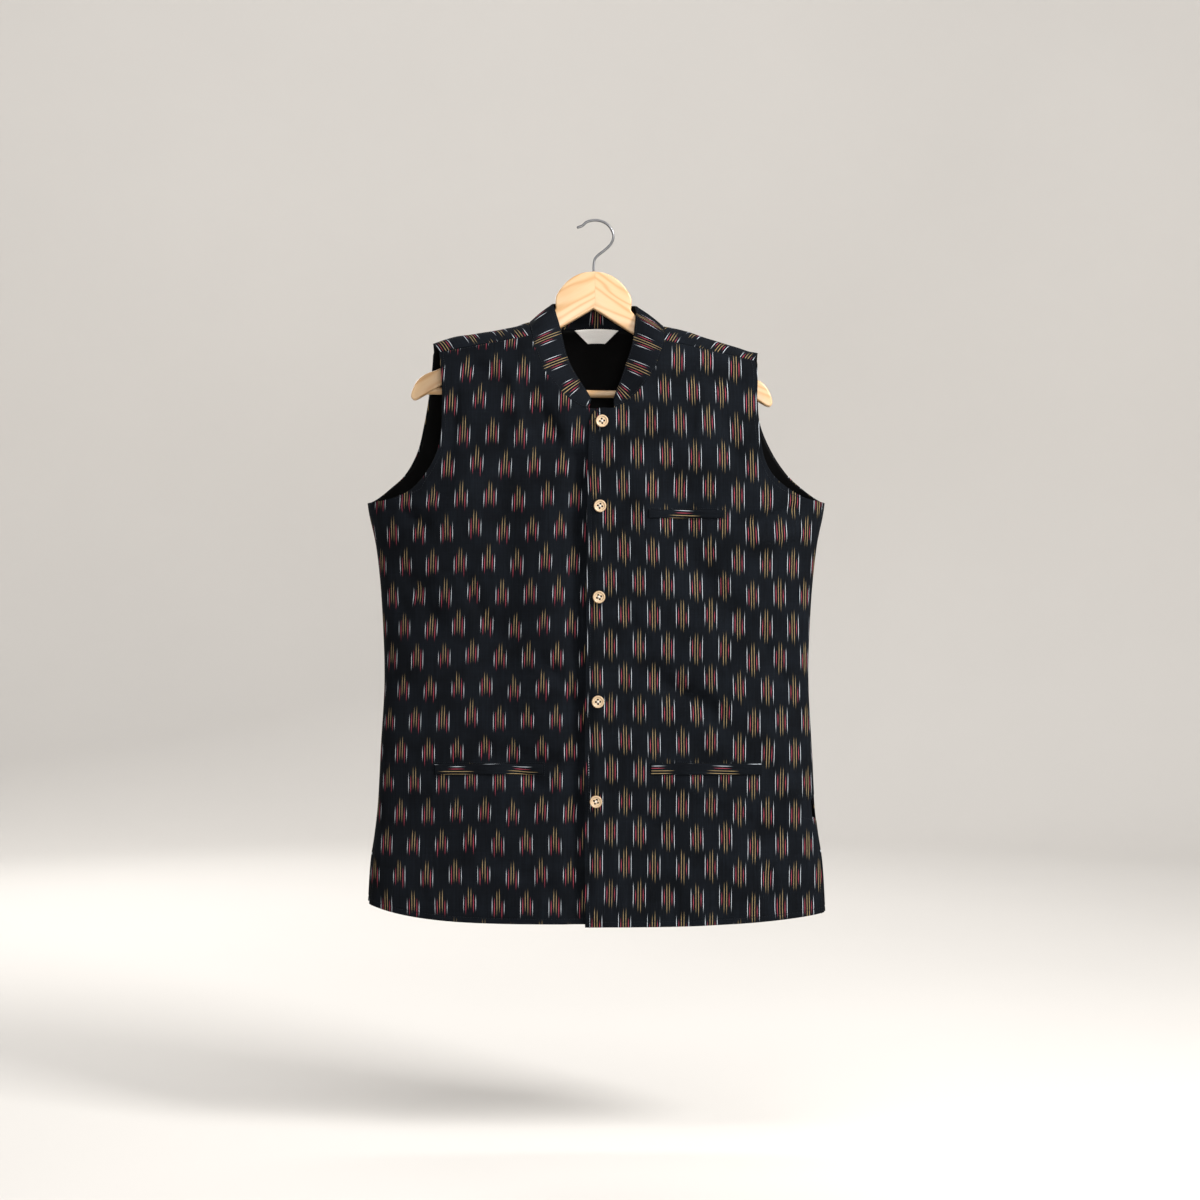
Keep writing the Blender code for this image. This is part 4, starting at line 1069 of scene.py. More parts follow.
@dataclass
class Welt:
    """Folded strip that stands over a pocket's mouth."""

    name: str
    x0: float
    z0: float
    x1: float
    z1: float
    width: float
    motif_x: float
    motif_drop: float
    seat: float = 0.15
    wall: float = 1.7
    puff: float = 0.7
    gape: float = 0.5
    seam_out: float = 1.6
    columns: int = 70
    rows: int = 9
    # Painted shade in the pocket's mouth: where its dark strip starts along the welt, and how high
    # it shows
    shade_strip_from: float = 0.06
    shade_strip_high: float = 1.5

    def place(self, across: Array | float, down: Array | float) -> tuple[Array, Array]:
        """x and z at a share of the length and a distance below the upper edge."""
        x = self.x0 + (self.x1 - self.x0) * across
        return x, self.z0 + (self.z1 - self.z0) * across - down

    def build(self, carrier: Carrier) -> Piece:
        """The strip, puffed between its sewn ends and a little open at the mouth."""
        length = self.x1 - self.x0
        across = close_to_edge(length, self.columns) / length
        down = close_to_edge(self.width, self.rows)[:, None]
        x, z = self.place(across, down)
        bolt = np.stack(np.broadcast_arrays(down - self.motif_drop, x - self.motif_x), axis=-1)
        grid = ClothGrid(*carrier.under(x, z), bolt)
        sewn = np.sin(math.pi * across) ** 0.6
        crown = np.sin(math.pi * down / self.width) ** 0.7
        mouth = np.exp(-((down / (0.35 * self.width)) ** 2))
        lift = self.puff * crown * (0.4 + 0.6 * sewn) + self.gape * mouth * sewn**3
        face = grid.lifted(self.seat + self.wall + lift)
        return rolled_wall(self.name + "_cloth", face, self.wall, 0.7)

    def mouth(self, carrier: Carrier) -> Piece:
        """Painted shade: a thin strip of black lining cloth laid on the panel in the pocket's
        mouth, showing over the welt as a dark line.
        """
        across = np.linspace(self.shade_strip_from, 1 - self.shade_strip_from, 40)
        part = (across - self.shade_strip_from) / (1 - 2 * self.shade_strip_from)
        gap = self.shade_strip_high * np.sqrt(np.maximum(np.sin(math.pi * part), 0))
        down = 1 - gap * np.array([[0], [0.5], [1]])
        points, _ = carrier.under(*self.place(across, down))
        normals = np.broadcast_to((0, -1, 0), points.shape)
        grid = ClothGrid(points, normals, np.zeros((*points.shape[:2], 2)))
        # painted shade: the dark strip stands in for the shade inside the pocket's mouth
        return rolled_wall(self.name + "_mouth_shade_strip", grid.lifted(0.35), 0.3, 0)

    def seam_box(self) -> tuple[Array, Array]:
        """x and z of the line of stitches round the welt."""
        share = self.seam_out / (self.x1 - self.x0)
        along, down = np.linspace(-share, 1 + share, 40), np.linspace(0, self.width, 5)
        sides = (
            (along, -self.seam_out), (1 + share, down),
            (along[::-1], self.width + self.seam_out), (-share, down[::-1]),
        )
        spots = [np.broadcast_arrays(*self.place(*side)) for side in sides]
        return np.concatenate([x for x, _ in spots]), np.concatenate([z for _, z in spots])


@dataclass
class Label:
    """Bare woven label under the middle of the back neck."""

    top_half: float = 27.0
    bottom_half: float = 10.5
    below_neck: float = 0.4
    height: float = 16.4
    seat: float = 0.25
    wall: float = 0.7
    arch: float = 1.6
    curl: float = 0.9
    lining_starts: float = 3.2
    flat: Pair = (0.054, 0.0185)
    flat_area: float = 0.00065
    columns: int = 36
    rows: int = 12

    def build(self, lining: Carrier) -> Piece:
        """The label on the lining, its lower corners curling off it a little."""
        across = np.linspace(-1, 1, self.columns + 1)
        down = np.linspace(0, 1, self.rows + 1)[:, None]
        neck_z = NECK[CENTRE_BACK_ROW].z
        x = (self.top_half + (self.bottom_half - self.top_half) * down) * across
        z = neck_z - self.below_neck - self.height * down - self.arch * across**2 * (1 - down)
        seen_z = np.minimum(z, neck_z - self.lining_starts)
        points, normals = lining.under(x, seen_z)
        points[..., 1] -= (z - seen_z) * normals[..., 2] / normals[..., 1]
        points[..., 2] += z - seen_z
        curl = self.curl * np.abs(across) ** 3 * down**2
        grid = ClothGrid(points, normals, np.stack([x, z], axis=-1))
        face = grid.lifted(self.seat + self.wall + curl)
        return rolled_wall("label_cloth", face, self.wall, 0.25)


# Round shapes


def circle(sides: int) -> Array:
    """Even points round a circle of radius 1."""
    angle = np.linspace(0, 2 * math.pi, sides, endpoint=False)
    return np.stack([np.cos(angle), np.sin(angle)], axis=1)


def ring_faces(rings: int, sides: int, first: int = 0, capped: bool = False) -> list[tuple]:
    """Faces between rings of points that follow one another.

    Args:
        rings: how many rings there are.
        sides: points on each ring.
        first: number of the first point.
        capped: true to close both ends.

    Returns:
        Corner numbers of each face.
    """
    last = first + (rings - 1) * sides
    faces = [
        (low + step, low + after, low + sides + after, low + sides + step)
        for low in range(first, last, sides)
        for step, after in zip(range(sides), [*range(1, sides), 0])
    ]
    if capped:
        faces += [tuple(range(first, first + sides))[::-1], tuple(range(last, last + sides))]
    return faces


def turned_shape(profile: Sequence[Pair], sides: int) -> tuple[Array, list]:
    """Closed turned shape.

    Args:
        profile: radius and height of each ring, from the middle of the back to that of the front.
        sides: points on each ring.

    Returns:
        Points, and the corner numbers of each face.
    """
    rings = [(far * x, far * y, height) for far, height in profile[1:-1] for x, y in circle(sides)]
    points = np.array([(0, 0, profile[0][1]), *rings, (0, 0, profile[-1][1])])
    faces, top = ring_faces(len(profile) - 2, sides, 1), len(points) - 1 - sides
    for step, after in zip(range(sides), [*range(1, sides), 0]):
        faces += [(0, 1 + after, 1 + step), (len(points) - 1, top + step, top + after)]
    return points, faces


def tube_object(name: str, lines: Sequence[Array], radius: float, sides: int) -> Piece:
    """Round tubes along lines, with domed ends.

    Args:
        name: the piece's name.
        lines: points of each tube's middle, in millimetres.
        radius: radius of the tubes.
        sides: points round each tube.

    Returns:
        The object, linked to the scene.
    """
    points, faces = [], []
    dome = ((0.95, 0.3), (0.6, 0.8))
    for line in lines:
        along = unit(np.gradient(line, axis=0))
        start, end, first, last = line[0], line[-1], along[0], along[-1]
        rings = [(start - first * radius * out, first, radius * size) for out, size in dome]
        rings += [(point, way, radius) for point, way in zip(line, along)]
        rings += [(end + last * radius * out, last, radius * size) for out, size in dome[::-1]]
        faces += ring_faces(len(rings), sides, len(points), capped=True)
        side = np.cross(first, (0, 0, 1) if abs(first[2]) < 0.9 else (1, 0, 0))
        for middle, way, size in rings:
            side = unit(side - way * np.dot(side, way))
            other = np.cross(way, side)
            points += [middle + size * (x * side + y * other) for x, y in circle(sides)]
    return mesh_object(name, np.array(points), faces)


def as_plain_mesh(worked: Piece, name: str) -> Piece:
    """Turns an object with its modifiers into a plain mesh object and removes the first one."""
    graph = bpy.context.evaluated_depsgraph_get()
    mesh = bpy.data.meshes.new_from_object(worked.evaluated_get(graph), depsgraph=graph)
    mesh.name = name
    bpy.data.objects.remove(worked, do_unlink=True)
    return linked(name, mesh)


def set_in_place(piece: Piece, place: Matrix) -> None:
    """Moves a piece's points by a turn and place in millimetres."""
    piece.data.transform(Matrix.Scale(MM, 4) @ place @ Matrix.Scale(1 / MM, 4))


# Buttons


@dataclass
class Button:
    """Turned coconut button with four holes, sewn through with a cross of thread."""

    number: int
    x: float
    z: float
    turn_deg: float
    seat: float = 0.35
    hole_radius: float = 1.25
    hole_from_middle: float = 2.55
    thread_radius: float = 0.22
    strands: int = 2
    sides: int = 44
    drill_sides: int = 12

    PROFILE = (
        (0, 0), (5.4, 0), (6.6, 0.35), (7.3, 1), (7.5, 1.7), (7.4, 2.3), (7, 2.75), (6.5, 2.9),
        (6, 2.8), (5.5, 2.45), (5, 2.2), (4.2, 2.1), (0, 2.05),
    )
    DRILL_FROM, DRILL_TO = -1, 4

    def place(self, carrier: Carrier) -> Matrix:
        """Turn and place of the button, square to the cloth under it, in millimetres."""
        seat, _ = carrier.under(self.x, self.z)
        skin = Skin(Side.FRONT)
        way = Vector(skin.normal(skin.point(self.x, self.z)))
        square = way.to_track_quat("Z", "Y").to_matrix().to_4x4()
        spin = Matrix.Rotation(math.radians(self.turn_deg), 4, "Z")
        return Matrix.Translation(Vector(seat) + way * self.seat) @ square @ spin

    def build(self, place: Matrix) -> Piece:
        """The disc with its holes drilled through; its points keep where they were on the lathe."""
        disc = mesh_object("disc", *turned_shape(self.PROFILE, self.sides))
        low, high, radius = self.DRILL_FROM, self.DRILL_TO, self.hole_radius
        profile = ((0, low), (radius, low), (radius, high), (0, high))
        rod, rod_faces = turned_shape(profile, self.drill_sides)
        far = self.hole_from_middle
        spots = ((far, 0), (0, far), (-far, 0), (0, -far))
        faces = [
            tuple(corner + number * len(rod) for corner in face)
            for number in range(len(spots)) for face in rod_faces
        ]
        drill = mesh_object("drill", np.concatenate([rod + (*spot, 0) for spot in spots]), faces)
        cut = disc.modifiers.new("holes", "BOOLEAN")
        cut.operation, cut.object = "DIFFERENCE", drill
        made = as_plain_mesh(disc, f"button_{self.number}_shell")
        bpy.data.objects.remove(drill, do_unlink=True)
        carry(made.data, np.array([vertex.co for vertex in made.data.vertices]))
        set_in_place(made, place)
        made.data.set_sharp_from_angle(angle=math.radians(40))
        return made

    def thread(self, place: Matrix) -> Piece:
        """Cross of thread through the holes: strands that arch from hole to hole."""
        part = np.linspace(-1, 1, 11)
        at, tubes = self.hole_from_middle * part * 0.6, []
        for crossing in range(2):
            arch = 2 + (0.75 + 0.35 * crossing) * (1 - part**4) - 1.4 * np.abs(part) ** 8
            for strand in range(self.strands):
                beside = (strand - 0.5 * (self.strands - 1)) * 1.7 * self.thread_radius
                off = np.full(len(part), beside)
                tubes.append(np.stack([-off, at, arch] if crossing else [at, off, arch], axis=1))
        made = tube_object(f"button_{self.number}_thread", tubes, self.thread_radius, 6)
        set_in_place(made, place)
        return made


# Hanger


@dataclass
class Hanger:
    """Pine hanger of two boards joined at the middle, with its trouser bar and wire hook."""

    axis_x: float = -1.7
    tilt_deg: float = 1.1
    half_thickness: float = 6.5
    round_over: float = 2.2
    bar_radius: float = 4.6
    bar_z: float = -210.5
    bar_half: float = 209.0
    wire_radius: float = 1.65
    board_steps: int = 6
    hook_steps: int = 10

    OUTLINE = (
        (0, -61.6), (12, -63.1), (23, -67.4), (32.8, -74.5), (39.9, -82.6), (45.3, -91.5),
        (46.4, -98), (46.2, -103), (46, -108), (51, -114), (64, -124.9), (84, -130.9),
        (189.4, -185.3), (203, -190.6), (210.6, -196.2), (216.2, -204.2), (219.6, -213.2),
        (220, -218.6), (217.4, -222.1), (213, -221.7), (203.6, -216.2), (184.2, -204.6), (44, -134),
        (0, -107),
    )
    CORNERS = (11, 12, 21, 22)
    HOOK = (
        (-22.7, -7.3), (-17.3, -5.2), (-11.9, -0.7), (-2.6, 1.5), (6, 0.3), (13, -3.4),
        (18.6, -10.4), (20.6, -18.2), (17.6, -27.2), (9.4, -35.4), (0.8, -42.2), (-2.4, -46.6),
        (-3.4, -54), (-3.4, -63), (-3.4, -82),
    )

    def placed(self, points: Array) -> Array:
        """Points of the hanger's own frame, tipped about the hook."""
        turn = np.array(Matrix.Rotation(math.radians(self.tilt_deg), 3, "Y"))
        return (points + (self.axis_x, 0, 0)) @ turn.T

    def board(self) -> Piece:
        """Both boards in one piece, with rounded edges all round."""
        half = fine_path(self.OUTLINE, self.CORNERS, self.board_steps)
        ring = np.concatenate([half, half[-2:0:-1] * (-1, 1)])
        quarter = np.array([[0, 1], [-1, 0]])
        first = unit(ring - np.roll(ring, 1, axis=0))
        outward = unit((first + unit(np.roll(ring, -1, axis=0) - ring)) @ quarter)
        lean = np.maximum((outward * (first @ quarter)).sum(axis=1, keepdims=True), 0.45)
        turns = np.linspace(math.pi / 2, 0, 6)
        inset = self.round_over * (1 - np.cos(turns))
        y = self.round_over * (1 - np.sin(turns)) - self.half_thickness
        levels = [*zip(y, inset), *zip(-y[::-1], inset[::-1])]
        rings = [np.insert(ring - outward * far / lean, 1, y, axis=1) for y, far in levels]
        faces = ring_faces(len(levels), len(ring), capped=True)
        made = mesh_object("hanger_board", self.placed(np.concatenate(rings)), faces)
        work = bmesh.new()
        work.from_mesh(made.data)
        bmesh.ops.recalc_face_normals(work, faces=work.faces)
        work.to_mesh(made.data)
        work.free()
        made.data.set_sharp_from_angle(angle=math.radians(50))
        return made

    def bar(self) -> Piece:
        """Round trouser bar between the arms."""
        ends = [(half, 0, self.bar_z) for half in (-self.bar_half, self.bar_half)]
        line = self.placed(np.linspace(*ends, 24))
        return tube_object("hanger_trouser_bar", [line], self.bar_radius, 28)

    def hook(self) -> Piece:
        """Wire hook, bent in one plane."""
        path = fine_path(self.HOOK, (len(self.HOOK) - 2,), self.hook_steps)
        return tube_object("hook_wire", [np.insert(path, 1, 0, axis=1)], self.wire_radius, 18)


# Node trees


def joined_by(operation: str, turned: bool = False) -> Callable[..., "Term"]:
    """Makes a method of Term that joins its values with one Math node.

    Args:
        operation: the Math node's operation.
        turned: true where the term itself comes last.

    Returns:
        The method.
    """

    def join(term: "Term", *others: object) -> "Term":
        """Result of the Math node."""
        return term.maker.math(operation, *((*others, term) if turned else (term, *others)))

    return join


@dataclass(frozen=True)
class Term:
    """Output of a node, which takes part in sums as a number does."""

    maker: "TreeMaker"
    socket: bpy.types.NodeSocket

    __add__ = __radd__ = joined_by("ADD")
    __sub__, __rsub__ = joined_by("SUBTRACT"), joined_by("SUBTRACT", True)
    __mul__, __truediv__ = joined_by("MULTIPLY"), joined_by("DIVIDE")
    __gt__, __lt__, __abs__, floor, fraction, modulo, sign, sine, root = map(joined_by, (
        "GREATER_THAN", "LESS_THAN", "ABSOLUTE", "FLOOR", "FRACT", "FLOORED_MODULO", "SIGN", "SINE",
        "SQRT",
    ))
    least, most, power, times_plus = map(joined_by, ("MINIMUM", "MAXIMUM", "POWER", "MULTIPLY_ADD"))

    def about_zero(self, width: float) -> "Term":
        """A value from 0 to 1 spread evenly about 0."""
        return (self - 0.5) * width

    def cells(self, pitch: float) -> tuple["Term", "Term"]:
        """Number of the cell that a place is in, and how far it is from the cell's middle."""
        cell = self / pitch + 0.5
        return cell.floor(), cell.fraction().about_zero(pitch)


class TreeMaker:
    """Short calls that add nodes to a tree."""

    def __init__(self, tree: bpy.types.NodeTree) -> None:
        """Keeps the tree."""
        self.tree = tree

    def feed(self, socket: bpy.types.NodeSocket, value: object) -> None:
        """Links a socket to a term, or sets its value."""
        if isinstance(value, Term):
            self.tree.links.new(value.socket, socket)
        else:
            socket.default_value = value

    def node(
        self, kind: str, feeds: dict | Sequence = (), give: int | str = 0, **settings: object
    ) -> Term:
        """Adds a node.

        Args:
            kind: the node's type.
            feeds: values of its inputs, in order or by name or number.
            give: the output to go on with.
            **settings: the node's own properties.

        Returns:
            That output.
        """
        made = self.tree.nodes.new(kind)
        for name, value in settings.items():
            setattr(made, name, value)
        for place, value in feeds.items() if isinstance(feeds, dict) else enumerate(feeds):
            self.feed(made.inputs[place], value)
        return Term(self, made.outputs[give])

    def math(self, operation: str, *values: object, clamp: bool = False) -> Term:
        """Result of one Math node."""
        return self.node("ShaderNodeMath", values, operation=operation, use_clamp=clamp)


# Stitches


@dataclass(frozen=True)
class StitchKind:
    """Sizes of one kind of sewing, and the angle from the line to the stitch."""

    pitch: float
    length: float
    radius: float
    turn: float = 0.0


TOPSTITCH = StitchKind(3.1, 2.3, 0.26)
FINE_STITCH = StitchKind(2.4, 1.8, 0.2)
SATIN_STITCH = StitchKind(0.55, 2.6, 0.27, math.pi / 2)


class StitchTool:
    """Geometry Nodes tree that lays thread stitches along lines."""

    INPUTS = {
        "Pitch": "Float", "Length": "Float", "Radius": "Float", "Turn": "Float", "Seed": "Int",
        "Thread": "Material",
    }
    SEED = 1
    LEAST_SIZE, MOST_SIZE = 0.86, 1.1

    def __init__(self) -> None:
        """Builds the tree: even points on the lines, a stitch on each, realized, its thread."""
        self.tree = bpy.data.node_groups.new("stitch_run", "GeometryNodeTree")
        face = self.tree.interface
        face.new_socket("Lines", in_out="INPUT", socket_type="NodeSocketGeometry")
        self.inputs = [
            face.new_socket(name, in_out="INPUT", socket_type="NodeSocket" + kind).identifier
            for name, kind in self.INPUTS.items()
        ]
        face.new_socket("Stitches", in_out="OUTPUT", socket_type="NodeSocketGeometry")
        t = TreeMaker(self.tree)
        outputs = self.tree.nodes.new("NodeGroupInput").outputs
        given = {socket.name: Term(t, socket) for socket in outputs}
        radius = given["Radius"]
        curve = t.node("GeometryNodeMeshToCurve", [given["Lines"]])
        evened = t.node(
            "GeometryNodeResampleCurve", {"Curve": curve, "Length": given["Pitch"]}, mode="LENGTH"
        )
        tangent = t.node("GeometryNodeInputTangent")
        aligned = t.node("FunctionNodeAlignRotationToVector", {"Vector": tangent}, axis="X")
        angle = t.node("ShaderNodeCombineXYZ", {"Z": given["Turn"]})
        turn = t.node("FunctionNodeEulerToRotation", [angle])
        turned = t.node(
            "FunctionNodeRotateRotation", {"Rotation": aligned, "Rotate By": turn},
            rotation_space="LOCAL",
        )
        thread = t.node("GeometryNodeMeshUVSphere", {"Segments": 6, "Rings": 4})
        sizes = t.node("ShaderNodeCombineXYZ", [given["Length"] * 0.5, radius, radius])
        stitch = t.node("GeometryNodeTransform", {"Geometry": thread, "Scale": sizes})
        limits = {2: self.LEAST_SIZE, 3: self.MOST_SIZE, "Seed": given["Seed"]}
        uneven = t.node("FunctionNodeRandomValue", limits, 1, data_type="FLOAT")
        laid = {"Points": evened, "Instance": stitch, "Rotation": turned, "Scale": uneven}
        stitches = t.node("GeometryNodeInstanceOnPoints", laid)
        real = t.node("GeometryNodeRealizeInstances", [stitches])
        smooth = t.node("GeometryNodeSetShadeSmooth", {"Geometry": real})
        dyed = t.node("GeometryNodeSetMaterial", {"Geometry": smooth, "Material": given["Thread"]})
        t.feed(self.tree.nodes.new("NodeGroupOutput").inputs[0], dyed)

    def sew(self, name: str, lines: Sequence[Array], kind: StitchKind, thread: Finish) -> Piece:
        """Stitches along lines that already lie on the cloth.

        Args:
            name: the piece's name.
            lines: points of each line, in millimetres.
            kind: sizes of the stitches.
            thread: material of the thread.

        Returns:
            All the stitches as one plain mesh object.
        """
        lengths = [len(line) for line in lines]
        starts = np.cumsum([0, *lengths])
        edges = [
            (at, at + 1) for start, end in zip(starts, starts[1:]) for at in range(start, end - 1)
        ]
        drawn = mesh_object(name + "_lines", np.concatenate(lines), [], edges=edges)
        sewn = drawn.modifiers.new("stitches", "NODES")
        sewn.node_group = self.tree
        sizes = (kind.pitch * MM, kind.length * MM, kind.radius * MM)
        for identifier, value in zip(self.inputs, (*sizes, kind.turn, self.SEED, thread)):
            sewn[identifier] = value
        return as_plain_mesh(drawn, name)


# Finishes


class Recipe(TreeMaker):
    """Node tree of one material, with the nodes that the finishes share."""

    def __init__(self, name: str) -> None:
        """Starts a material with one Principled BSDF."""
        self.material = bpy.data.materials.new(name)
        self.material.use_nodes = True
        super().__init__(self.material.node_tree)
        self.shader = self.tree.nodes["Principled BSDF"].inputs

    def mix(self, share: object, low: object, high: object) -> Term:
        """Mix of two colours."""
        return self.node("ShaderNodeMix", {0: share, 6: low, 7: high}, 2, data_type="RGBA")

    def shade(self, colour: object, by: object) -> Term:
        """Colour made darker or lighter by a factor."""
        plain = colour[:3] if isinstance(colour, tuple) else colour
        return self.node("ShaderNodeVectorMath", {0: plain, "Scale": by}, operation="SCALE")

    def stretched(self, vector: Term, x: float, y: float, z: float) -> Term:
        """Vector scaled on each axis."""
        return self.node("ShaderNodeVectorMath", (vector, (x, y, z)), operation="MULTIPLY")

    def noise(self, vector: Term, scale: float, detail: float = 1.0) -> Term:
        """Soft noise from 0 to 1, in cells for each metre."""
        return self.node("ShaderNodeTexNoise", {"Vector": vector, "Scale": scale, "Detail": detail})

    def grain(self, vector: Term, shape: Spot, scale: float, detail: float = 1.0) -> Term:
        """Soft noise whose cells are drawn out on the axes where the shape is small."""
        return self.noise(self.stretched(vector, *shape), scale, detail)

    def random(self, *parts: object) -> Term:
        """White noise from 0 to 1 for up to three numbers."""
        joined = self.node("ShaderNodeCombineXYZ", parts)
        feeds = {"Vector": joined}
        return self.node("ShaderNodeTexWhiteNoise", feeds, "Value", noise_dimensions="3D")

    def range(self, value: object, low: float, high: float, to_low: float, to_high: float) -> Term:
        """Value moved from one range to another and held inside it."""
        return self.node("ShaderNodeMapRange", (value, low, high, to_low, to_high), clamp=True)

    def parts(self, vector: Term) -> list[Term]:
        """The three numbers of a vector."""
        split = self.node("ShaderNodeSeparateXYZ", [vector])
        return [Term(self, socket) for socket in split.socket.node.outputs]

    def carried(self) -> Term:
        """Vector kept on the piece's points."""
        return self.node("ShaderNodeAttribute", give="Vector", attribute_name=BOLT)

    def place(self) -> Term:
        """Object coordinates."""
        return self.node("ShaderNodeTexCoord", give="Object")

    def finish(
        self, colour: object, height: Term | None, strength: float, depth: float, **sockets: object
    ) -> Finish:
        """Feeds the shader.

        Args:
            colour: base colour.
            height: relief on the surface, if there is any.
            strength: how strong the relief is.
            depth: how deep it is, in metres.
            **sockets: the shader's other inputs, whose spaces are underscores here.

        Returns:
            The material.
        """
        self.feed(self.shader["Base Color"], colour)
        if height is not None:
            relief = {"Strength": strength, "Distance": depth, "Height": height}
            self.feed(self.shader["Normal"], self.node("ShaderNodeBump", relief))
        for name, value in sockets.items():
            self.feed(self.shader[name.replace("_", " ")], value)
        return self.material


class FinishKind(Protocol):
    """What every finish has: its name, the name of a slot, and its material."""

    name: str
    slot: str

    def build(self) -> Finish:
        """The material."""


class Dye(NamedTuple):
    """One dyed yarn: its place off the motif's middle, half width, and reach up and down."""

    at: float
    half: float
    up: float
    down: float


class Drift(NamedTuple):
    """How far the pattern lies off its even places, and how that grows over the cloth."""

    middle: float = 0.0
    over_across: float = 0.0
    over_along: float = 0.0
    over_along_squared: float = 0.0


@dataclass(frozen=True)
class IkatCotton:
    """Charcoal cotton whose warp was tied and dyed in groups of six short lines.

    Each column holds one line of motifs, and each next column hangs half a repeat lower, so the
    motifs stand in staggered rows.
    """

    name: str
    ochre: Dye = Dye(1.6, 0.275, 19.4, 19.4)
    red: Dye = Dye(4.65, 0.31, 8, 11)
    white: Dye = Dye(7.45, 0.22, 15, 15.5)
    middle: Pair = (0, -550)
    drift_across: Drift = Drift()
    drift_along: Drift = Drift()
    first_column: int = 0
    column_drops: tuple[float, ...] = ()
    jitter: float = 2.6
    wander: float = 3.0
    slot: str = "ikat_cotton"

    COLUMN, REPEAT = 17.5, 77.4
    LEAN = 1.6
    UNEVEN_ENDS, FIBRE, FEATHER = 5, 9, 3.2
    YARN_PITCH = 0.85
    GROUND: Colour = (0.0042, 0.0058, 0.0085, 1)
    OCHRE: Colour = (0.32, 0.235, 0.115, 1)
    RED: Colour = (0.33, 0.046, 0.07, 1)
    WHITE: Colour = (0.57, 0.62, 0.68, 1)

    def build(self) -> Finish:
        """The material; it reads where the cloth lay on the bolt, in millimetres."""
        r = Recipe(self.name)
        bolt = r.carried()
        across, along, _ = r.parts(r.stretched(bolt, 1 / MM, 1 / MM, 1))
        lean = r.grain(bolt, (0.5, 1, 1), 11).about_zero(2 * self.LEAN)
        droop = r.grain(bolt, (1, 0.6, 1), 11).about_zero(2 * self.wander)
        drift = self._drift(self.drift_across, across, along)
        column, beside = (across + lean + drift).cells(self.COLUMN)
        slip = r.random(column, 3.3, 0.7).about_zero(2 * self.jitter)
        drop = column.modulo(2) * (0.5 * self.REPEAT) + slip
        if self.column_drops:
            drop = drop + self._charted_drop(r, column)
        drop = drop + self._drift(self.drift_along, across, along)
        row, up = (along + droop + drop).cells(self.REPEAT)
        mask, white, not_ochre = self._yarns(r, (column, row), beside, up)
        dyed = r.mix(white, r.mix(not_ochre, self.OCHRE, self.RED), self.WHITE)
        pale = r.grain(bolt, (3, 1, 1), 300).times_plus(0.5, 0.78)
        colour = r.mix(mask, self._ground(r), r.shade(dyed, pale))
        over, under = ((way * (2 * math.pi / self.YARN_PITCH)).sine() for way in (across, along))
        relief = (over * under).times_plus(0.5, 0.5) + mask * 0.35
        return r.finish(colour, relief, 0.45, 0.00022, Specular_IOR_Level=0.07, Roughness=0.88)

    def _drift(self, drift: Drift, across: Term, along: Term) -> Term:
        """Drift at each place, from hundreds of millimetres off the panel's middle."""
        beside, above = ((at - middle) * 0.01 for at, middle in zip((across, along), self.middle))
        upward = above.times_plus(drift.over_along_squared, drift.over_along)
        return beside.times_plus(drift.over_across, above.times_plus(upward, drift.middle))

    def _charted_drop(self, r: Recipe, column: Term) -> Term:
        """How much lower each column hangs than its even place, read from the chart of columns."""
        drops, count = self.column_drops, len(self.column_drops)
        low, high = min(drops), max(drops)
        read = r.node("ShaderNodeValToRGB", [(column - (self.first_column - 0.5)) / count])
        chart = read.socket.node.color_ramp
        chart.interpolation = "CONSTANT"
        while len(chart.elements) < count:
            chart.elements.new(1)
        for step, (stop, drop) in enumerate(zip(chart.elements, drops)):
            stop.position = step / count
            stop.color = (*[(drop - low) / (high - low)] * 3, 1)
        return r.parts(read)[0].times_plus(high - low, low)

    def _yarns(
        self, r: Recipe, motif: tuple[Term, Term], beside: Term, up: Term
    ) -> tuple[Term, Term, Term]:
        """Where the dyed yarns show, and which of the three dyes each place has.

        Args:
            r: the recipe.
            motif: its column and its row.
            beside: distance across from the motif's middle.
            up: distance above the motif's middle.

        Returns:
            How much dyed yarn shows, 1 on white yarns, and 1 on red and white yarns.
        """
        dyes, off = (self.ochre, self.red, self.white), abs(beside)
        past_ochre = off > 0.5 * (self.ochre.at + self.red.at)
        past_red = off > 0.5 * (self.red.at + self.white.at)

        def by_dye(column: str) -> Term:
            """One number of the dye at each place."""
            ochre, red, white = (getattr(dye, column) for dye in dyes)
            return past_red.times_plus(white - red, past_ochre.times_plus(red - ochre, ochre))

        yarn = beside.sign() + (past_ochre + past_red)
        fibre = r.grain(r.carried(), (1, 0.02, 1), 3300).about_zero(self.FIBRE)
        top = by_dye("up") + r.random(*motif, yarn).about_zero(self.UNEVEN_ENDS)
        foot = by_dye("down") + r.random(yarn, *motif).about_zero(self.UNEVEN_ENDS)
        inside = (top - up).least(foot + up) + fibre
        lengthwise = r.range(inside, -0.5 * self.FEATHER, 0.5 * self.FEATHER, 0, 1)
        half = by_dye("half") - r.range(inside, 0, 8, 0.25, 0)
        crosswise = r.range(half - abs(off - by_dye("at")), -0.12, 0.12, 0, 1)
        return lengthwise * crosswise, past_red, past_ochre

    def _ground(self, r: Recipe) -> Term:
        """Charcoal with the uneven warp and weft of handwoven cloth."""
        bolt = r.carried()
        warp = r.grain(bolt, (1, 0.025, 1), 700, 2)
        weft = r.grain(bolt, (0.03, 1, 1), 620, 2)
        cloud = r.range(r.noise(bolt, 24, 3), 0.35, 0.62, 0.66, 1.1)
        return r.shade(self.GROUND, weft.times_plus(0.5, warp + 0.1) * cloud)


